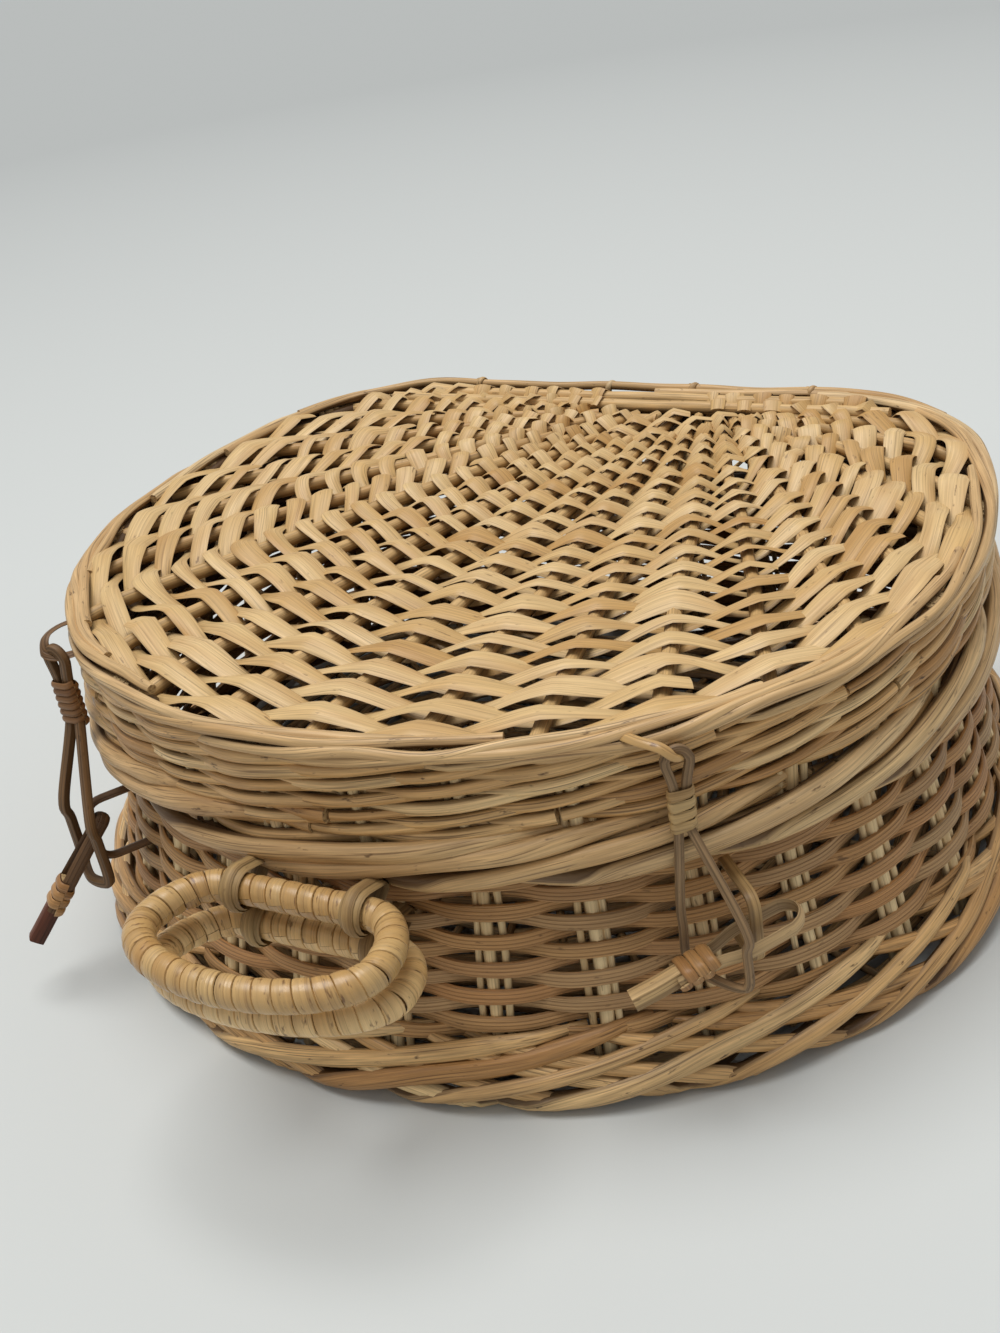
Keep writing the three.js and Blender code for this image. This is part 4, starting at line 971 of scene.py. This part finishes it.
class Ring:
    """A handle's middle line and winding, placed by its pivot and tilt."""

    def __init__(self, pivot, tilt):
        turn = math.radians(tilt)
        self.origin = np.array([0.0, *pivot])
        self.plane_x = np.array([1.0, 0.0, 0.0])
        self.plane_y = np.array([0.0, math.cos(turn), -math.sin(turn)])
        self.plane_z = np.array([0.0, math.sin(turn), math.cos(turn)])
        self.line = handle_line()
        self.reach = lengths(self.line)
        self.length = self.reach[-1]

    def middle(self, distance):
        flat_x = np.interp(distance % self.length, self.reach, self.line[:, 0])
        flat_y = np.interp(distance % self.length, self.reach, self.line[:, 1])
        return self.origin + flat_x[:, None] * self.plane_x + flat_y[:, None] * self.plane_y

    def winding(self, distance, angle):
        """Points of the winding and their outward directions."""
        tangent = unit(self.middle(distance + 0.5) - self.middle(distance - 0.5))
        side = unit(np.cross(self.plane_z, tangent))
        radial = side * np.cos(angle)[:, None] + self.plane_z * np.sin(angle)[:, None]
        return self.middle(distance) + radial * WRAP_RADIUS, radial


def handle(name, pivot, tilt, cane, seed):
    """A bent rod, wound with cane turn by turn, each turn about as wide as the way to the next."""
    ring = Ring(pivot, tilt)
    weave = Weave(seed)
    core = ring.middle(np.linspace(0.0, ring.length, 100))
    weave.strand(core, ring.plane_z, HANDLE_RADIUS, HANDLE_RADIUS)
    weave.piece(f"{name}_handle_rod", f"{name}_handle", "willow", BINDING, f"{name}_handle_core")

    weave = Weave(seed + 1)
    pitch = ring.length / WRAP_TURNS
    for index in range(WRAP_TURNS):
        turns = index + np.arange(WRAP_STEPS + 1) / WRAP_STEPS
        angle = 2 * np.pi * turns
        path, radial = ring.winding(turns * pitch, angle)
        next_path = ring.winding(turns * pitch + pitch, angle)[0]
        space = np.linalg.norm(next_path - path, axis=1)
        path = path + radial * weave.random.uniform(-0.12, 0.12)
        weave.strand(path, radial, weave.random.uniform(0.46, 0.495) * space, 0.6, BAND)
    weave.piece(f"{name}_handle_cane", f"{name}_handle", "cane", cane, f"{name}_handle_wrap")


def handle_tie(carrier, side, sign, pivot, tail_y, seed):
    """A broad cane round a handle's straight run, tucked into the wall, with a narrower one over it."""
    weave = Weave(seed)
    y, z = pivot
    x = sign * TIE_X
    line, normals = belt((y, z), TIE_RADIUS, (tail_y, z + TIE_TAIL_RISE), TIE_TAIL_RADIUS)
    inside = np.array([[tail_y + 9.0, z + 4.0]])
    split = BELT_STEPS + BELT_STEPS // 2
    line = np.vstack([inside, line[split:], line[:split], inside - [0.0, 4.0]])
    first_normal = normals[split:split + 1]
    last_normal = normals[split - 1:split]
    normals = np.vstack([first_normal, normals[split:], normals[:split], last_normal])
    weave.strand(crosswise(x, line), crosswise(0.0, normals), 4.5, 0.9, SPLIT)
    over = line[4:-4] + normals[4:-4] * 1.2
    path = crosswise(x, over)
    path[:, 0] += np.linspace(-TIE_LEAN, TIE_LEAN, len(over))
    weave.strand(path, crosswise(0.0, normals[4:-4]), 2.6, 0.6, SPLIT)
    weave.piece(f"{carrier}_handle_cane_{side}", carrier, "brown_cane", OLIVE, f"{carrier}_handle_tie_{side}")


# Closures. An eye on the lid carries a hasp, and a staple on the base a peg that goes through it.
# The eye's route is to the right, outward and up from the eye.
EYE_Z = 151.0
EYE_OUT = 8.0
EYE_ROUTE = (
    (-17.0, -13.0, 6.0), (-12.0, -4.0, 7.0), (-6.0, 2.0, 6.5), (-1.5, 3.4, 2.6), (1.0, -1.0, -0.2),
    (2.0, -7.0, -0.5), (2.0, -14.0, 0.0),
)
STAPLE_Z = 73.0
STAPLE_OUT = 17.0
STAPLE_HALF = 15.0
STAPLE_TURN = 6.0
STAPLE_ROOT = 4.0
LEG_GAP_HALF = 12.0
LEG_HEIGHTS = (87.0, 76.0)
NECK_TOP = 14.0
NECK_END = 31.0
TOGGLE_LENGTH = 52.0
TOGGLE_LAP = 16.0
TOGGLE_GAP_HALF = 4.5
TOGGLE_MOUTH = 6.0
STICK_LENGTH = 34.0
WINDING_STEPS = 16
CLOSURES = {
    "right": SimpleNamespace(
        mirror=1, seed=60, angle=-54.0, yaw=0.0,
        eye_half_width=2.2, eye_look=CANE,
        staple_bend=7.0, staple_section=(0.9, 2.4, SQUARE), staple_look=WINDING,
        front=9.0, rear=24.0, bottom=58.5, bulge=0.0, neck_turn=0.0, loop=4.5, spacing=2.2,
        hasp_section=(1.8, 1.5, FLAT), hasp_look=BROWN,
        winding_drop=22.5, winding=(4.6, 2.6, 18.0, 4), winding_look=WINDING,
        droop=15.0, slip=18.0, fold=7.5, strip_look=PEG_STRIP, stick_look=STICK,
    ),
    # The left closure's darker canes are partly painted shade.
    "left": SimpleNamespace(
        mirror=-1, seed=70, angle=-48.5, yaw=78.0,
        eye_half_width=3.1, eye_look=DARK_CANE_PAINTED_SHADE,
        staple_bend=7.5, staple_section=(1.75, 2.2, ROUND), staple_look=DARK_CANE_PAINTED_SHADE,
        front=-1.0, rear=9.0, bottom=52.5, bulge=3.2, neck_turn=35.0, loop=4.8, spacing=2.6,
        hasp_section=(2.3, 2.1, FLAT), hasp_look=DARK_CANE_PAINTED_SHADE,
        winding_drop=23.0, winding=(5.6, 3.6, 21.0, 6), winding_look=DARK_WINDING_PAINTED_SHADE,
        droop=50.0, slip=9.5, fold=3.4, strip_look=DARK_CANE_PAINTED_SHADE, stick_look=BARK,
    ),
}


def plan_place(mirror, angle, out, z):
    """A point on the plan by its normal's angle, with the directions outward and to the right."""
    centre, radius = next((c, r) for c, r, _, last in ARCS if angle <= last)
    normal = heading(angle)
    point = centre + normal * (radius + out)
    facing = np.array([mirror * normal[0], normal[1], 0.0])
    return np.array([mirror * point[0], point[1], z]), facing, np.cross(UP, facing)


def wound(weave, middle, axis, side, rise, half_side, half_rise, length, turns, thick):
    """A strip wound round a bundle, one strand for each turn."""
    pitch = length / turns
    share = np.arange(WINDING_STEPS + 1) / WINDING_STEPS
    square = circle(2 * np.pi * share, 0.6)
    radial = side * square[:, :1] * half_side + rise * square[:, 1:] * half_rise
    for index in range(turns):
        along = -length / 2 + pitch * (index + 0.12 + 0.76 * share)
        weave.strand(middle + axis * along[:, None] + radial, unit(radial), 0.48 * pitch, thick, SPLIT)


class Closure:
    """Places and directions of one closure, with a method for each of its pieces."""

    def __init__(self, side):
        self.side = side
        self.facts = facts = CLOSURES[side]
        self.eye, self.eye_out, self.eye_right = plan_place(facts.mirror, facts.angle, EYE_OUT, EYE_Z)
        neck_turn = math.radians(facts.neck_turn)
        self.neck_side = self.eye_right * math.cos(neck_turn) - self.eye_out * math.sin(neck_turn)
        self.neck_face = self.eye_out * math.cos(neck_turn) + self.eye_right * math.sin(neck_turn)

        self.staple_angle = facts.angle + facts.mirror * STAPLE_TURN
        staple_place = plan_place(facts.mirror, self.staple_angle, STAPLE_OUT, STAPLE_Z)
        self.staple, staple_out, self.staple_right = staple_place
        yaw = math.radians(facts.yaw)
        self.along = -self.staple_right * math.cos(yaw) + staple_out * math.sin(yaw)
        self.across = staple_out * math.cos(yaw) + self.staple_right * math.sin(yaw)

        droop = math.radians(facts.droop)
        self.peg_along = self.along * math.cos(droop) - UP * math.sin(droop)
        self.peg_up = np.cross(self.peg_along, self.across)
        self.strip_end = TOGGLE_LENGTH - facts.slip
        self.stick_start = self.strip_end - TOGGLE_LAP

    def leg(self, distance, sign, z):
        """A point of the hasp beside the peg, by its distance along the peg from the staple."""
        point = self.staple + self.along * distance + self.across * sign * LEG_GAP_HALF
        return np.array([point[0], point[1], z])

    def neck(self, sign, drop):
        """A point of the hasp below the eye."""
        return self.eye + self.neck_side * sign * self.facts.spacing - UP * drop

    def lid_eye(self):
        facts = self.facts
        weave = Weave(facts.seed)
        route = [self.eye + self.eye_right * a + self.eye_out * b + UP * c for a, b, c in EYE_ROUTE]
        weave.strand(curve(route, 1.5), UP + 0.6 * self.eye_out, facts.eye_half_width, 0.9, SPLIT)
        weave.piece(f"lid_eye_strip_{self.side}", "lid", "cane", facts.eye_look, f"lid_hasp_eye_{self.side}")

    def base_staple(self):
        facts = self.facts
        weave = Weave(facts.seed + 1)
        roots = []
        for z in (STAPLE_Z + STAPLE_HALF, STAPLE_Z - STAPLE_HALF):
            roots.append(plan_place(facts.mirror, self.staple_angle, base_out(z) - STAPLE_ROOT, z)[0])
        corners = [roots[0], self.staple + UP * STAPLE_HALF, self.staple - UP * STAPLE_HALF, roots[1]]
        weave.strand(bent(corners, facts.staple_bend), self.staple_right, *facts.staple_section)
        weave.piece(f"base_staple_cane_{self.side}", "base", "brown_cane", facts.staple_look,
                    f"base_staple_{self.side}")

    def hasp(self):
        """One cane: from the neck down a leg, under the peg, up the other leg, over the eye and back."""
        facts = self.facts
        heights = (*LEG_HEIGHTS, facts.bottom + 3.0)
        front_leg = [self.leg(facts.front, 1, z) for z in heights]
        rear_leg = [self.leg(facts.rear, -1, z) for z in heights[::-1]]
        under = []
        for t in (0.15, 0.5, 0.85):
            arch = math.sin(np.pi * t)
            distance = facts.front * (1 - t) + facts.rear * t + facts.bulge * arch
            under.append(self.leg(distance, 1 - 2 * t, facts.bottom - 2.5 * arch))
        over_eye = []
        for turn in np.linspace(0.0, np.pi, 9)[::-1]:
            spread = self.neck_side * math.cos(turn) * facts.loop
            over_eye.append(self.eye + spread - UP * (2.5 - 5.6 * math.sin(turn)))
        line = [self.neck(1, NECK_END)] + front_leg + under + rear_leg
        line += [self.neck(-1, NECK_END), self.neck(-1, NECK_TOP)] + over_eye
        line += [self.neck(1, NECK_TOP), self.neck(1, NECK_END - 0.5)]
        weave = Weave(facts.seed + 2)
        weave.strand(curve(line, 2.0), self.neck_face, *facts.hasp_section)
        weave.piece(f"hasp_cane_{self.side}", f"hasp_{self.side}", "brown_cane", facts.hasp_look,
                    f"hasp_{self.side}")

    def hasp_winding(self):
        facts = self.facts
        weave = Weave(facts.seed + 3)
        middle = self.eye - UP * facts.winding_drop
        wound(weave, middle, -UP, self.neck_side, self.neck_face, *facts.winding, thick=0.6)
        weave.piece(f"hasp_winding_{self.side}", f"hasp_{self.side}", "cane", facts.winding_look,
                    f"hasp_binding_{self.side}")

    def toggle_strip(self):
        """A strip folded round the staple, with its ends on both sides of the stick."""
        facts = self.facts
        fold = facts.fold
        flat = [(self.strip_end, TOGGLE_GAP_HALF), (self.stick_start, TOGGLE_GAP_HALF), (TOGGLE_MOUTH, fold)]
        for turn in np.linspace(0.5 * np.pi, 1.5 * np.pi, 12):
            flat.append((fold - facts.slip + fold * math.cos(turn), fold * math.sin(turn)))
        flat += [(x, -y) for x, y in flat[2::-1]]
        line = curve(flat, 2.0)
        slope = unit(np.gradient(line, axis=0))
        path = self.staple + self.peg_along * line[:, :1] + self.across * line[:, 1:]
        facing = self.peg_along * slope[:, 1:] - self.across * slope[:, :1]
        weave = Weave(facts.seed + 4)
        weave.strand(path, facing, 3.2, 0.95, SPLIT)
        weave.piece(f"toggle_cane_{self.side}", f"toggle_{self.side}", "brown_cane", facts.strip_look,
                    f"toggle_strip_{self.side}")

    def toggle_stick(self):
        facts = self.facts
        weave = Weave(facts.seed + 5)
        t = np.linspace(self.stick_start, self.stick_start + STICK_LENGTH, 14)
        sway = 0.3 * weave.wander(t, 30.0)
        path = self.staple + self.peg_along * t[:, None] + self.across * sway[:, None]
        weave.strand(path, self.peg_up, 3.3, 3.5, SQUARE)
        weave.piece(f"toggle_stick_{self.side}", f"toggle_{self.side}", "bark", facts.stick_look,
                    f"toggle_peg_{self.side}")

    def toggle_winding(self):
        weave = Weave(self.facts.seed + 6)
        middle = self.staple + self.peg_along * (self.strip_end - TOGGLE_LAP / 2)
        wound(weave, middle, self.peg_along, self.across, self.peg_up, half_side=6.2, half_rise=4.1,
              length=14.0, turns=3, thick=0.55)
        weave.piece(f"toggle_winding_{self.side}", f"toggle_{self.side}", "cane", BINDING,
                    f"toggle_binding_{self.side}")


# All pieces
base_stakes()
base_weavers()
base_foot()
base_rim()
base_floor()
hinge_loop("left", -60)
hinge_loop("right", 60)
lid_wall()
lid_stakes()
lid_lower_border()
lid_top_border()
lid_spokes()
lid_bar("lid_hub_bar", HUB_Y, HUB_Z, HUB_HALF)
for bar_index, (bar_y, bar_half, _) in enumerate(BACK_BARS):
    lid_bar(f"lid_back_bar_{bar_index + 1}", bar_y, BAR_Z, bar_half)
lid_weave()
lid_hinge_rod()
handle("upper", UPPER_PIVOT, UPPER_TILT, CANE, 40)
# The lower handle's cane is painted lighter, as painted light against the upper ring's shadow.
handle("lower", LOWER_PIVOT, LOWER_TILT, LOWER_CANE_PAINTED_LIGHTER, 42)
for tie_side, tie_sign in (("left", -1), ("right", 1)):
    handle_tie("lid", tie_side, tie_sign, UPPER_PIVOT, UPPER_TAIL_Y, 50 + tie_sign)
    handle_tie("base", tie_side, tie_sign, LOWER_PIVOT, LOWER_TAIL_Y, 55 + tie_sign)
for closure_side in CLOSURES:
    closure = Closure(closure_side)
    closure.lid_eye()
    closure.base_staple()
    closure.hasp()
    closure.hasp_winding()
    closure.toggle_strip()
    closure.toggle_stick()
    closure.toggle_winding()


# Stage, in metres apart from the camera's target and distance
CAMERA_TARGET = np.array([-34.88, 26.35, 60.0])
CAMERA_DISTANCE = 810.68


def floor():
    """Pale paper with a painted light falloff: painted a little darker away from the object."""
    half = 9.0
    mesh = bpy.data.meshes.new("floor")
    corners = [(-half, -half, 0), (half, -half, 0), (half, half, 0), (-half, half, 0)]
    mesh.from_pydata(corners, [], [(0, 1, 2, 3)])
    shader = Shader("floor_paper_painted_falloff")
    place = shader.node("ShaderNodeNewGeometry", {}).outputs["Position"]
    distance = shader.node("ShaderNodeVectorMath", {0: place}, operation="LENGTH").outputs["Value"]
    # Painted light: the paper darkens with distance from the middle, standing in for light falling off.
    painted_falloff = shader.remap(distance, 0.5, 2.2, 0.0, 1.0)
    shade = shader.mix(painted_falloff, colour(202, 205, 203), colour(172, 175, 174))
    shader.give(Base_Color=shade, Roughness=0.9, Specular_IOR_Level=0.1)
    mesh.materials.append(shader.material)
    obj = add_object("floor", mesh)


def stand(obj, place, right, back):
    """Place a lamp or camera, which looks away from its back direction."""
    axes = np.column_stack([right, np.cross(back, right), back])
    obj.matrix_world = Matrix.Translation(place) @ Matrix(axes.tolist()).to_4x4()


def lamp(name, place, spread, strength):
    data = bpy.data.lights.new(name, "SUN")
    data.angle = math.radians(spread)
    data.energy = strength
    back = unit(np.array(place))
    right = unit(np.cross((0.0, 1.0, 0.0), back))
    stand(add_object(name, data), place, right, back)


def world():
    data = bpy.data.worlds.new("studio")
    data.use_nodes = True
    background = data.node_tree.nodes["Background"]
    background.inputs["Color"].default_value = (1.0, 1.0, 1.0, 1.0)
    background.inputs["Strength"].default_value = 0.41
    bpy.context.scene.world = data


def camera():
    data = bpy.data.cameras.new("camera")
    data.sensor_width = 36.0
    data.lens = 43.2
    azimuth = math.radians(30.73)
    elevation = math.radians(29.31)
    roll = math.radians(-9.57)
    level_share = math.cos(elevation)
    back = np.array([math.sin(azimuth) * level_share, -math.cos(azimuth) * level_share, math.sin(elevation)])
    level = np.array([math.cos(azimuth), math.sin(azimuth), 0.0])
    right = math.cos(roll) * level + math.sin(roll) * np.cross(back, level)
    place = (CAMERA_TARGET + back * CAMERA_DISTANCE) * MM
    obj = add_object("camera", data)
    stand(obj, place.tolist(), right, back)
    bpy.context.scene.camera = obj


floor()
lamp("overhead", place=(-0.25, 0.05, 1.5), spread=45.0, strength=2.45)
world()
camera()
bpy.context.scene.view_settings.view_transform = "Standard"
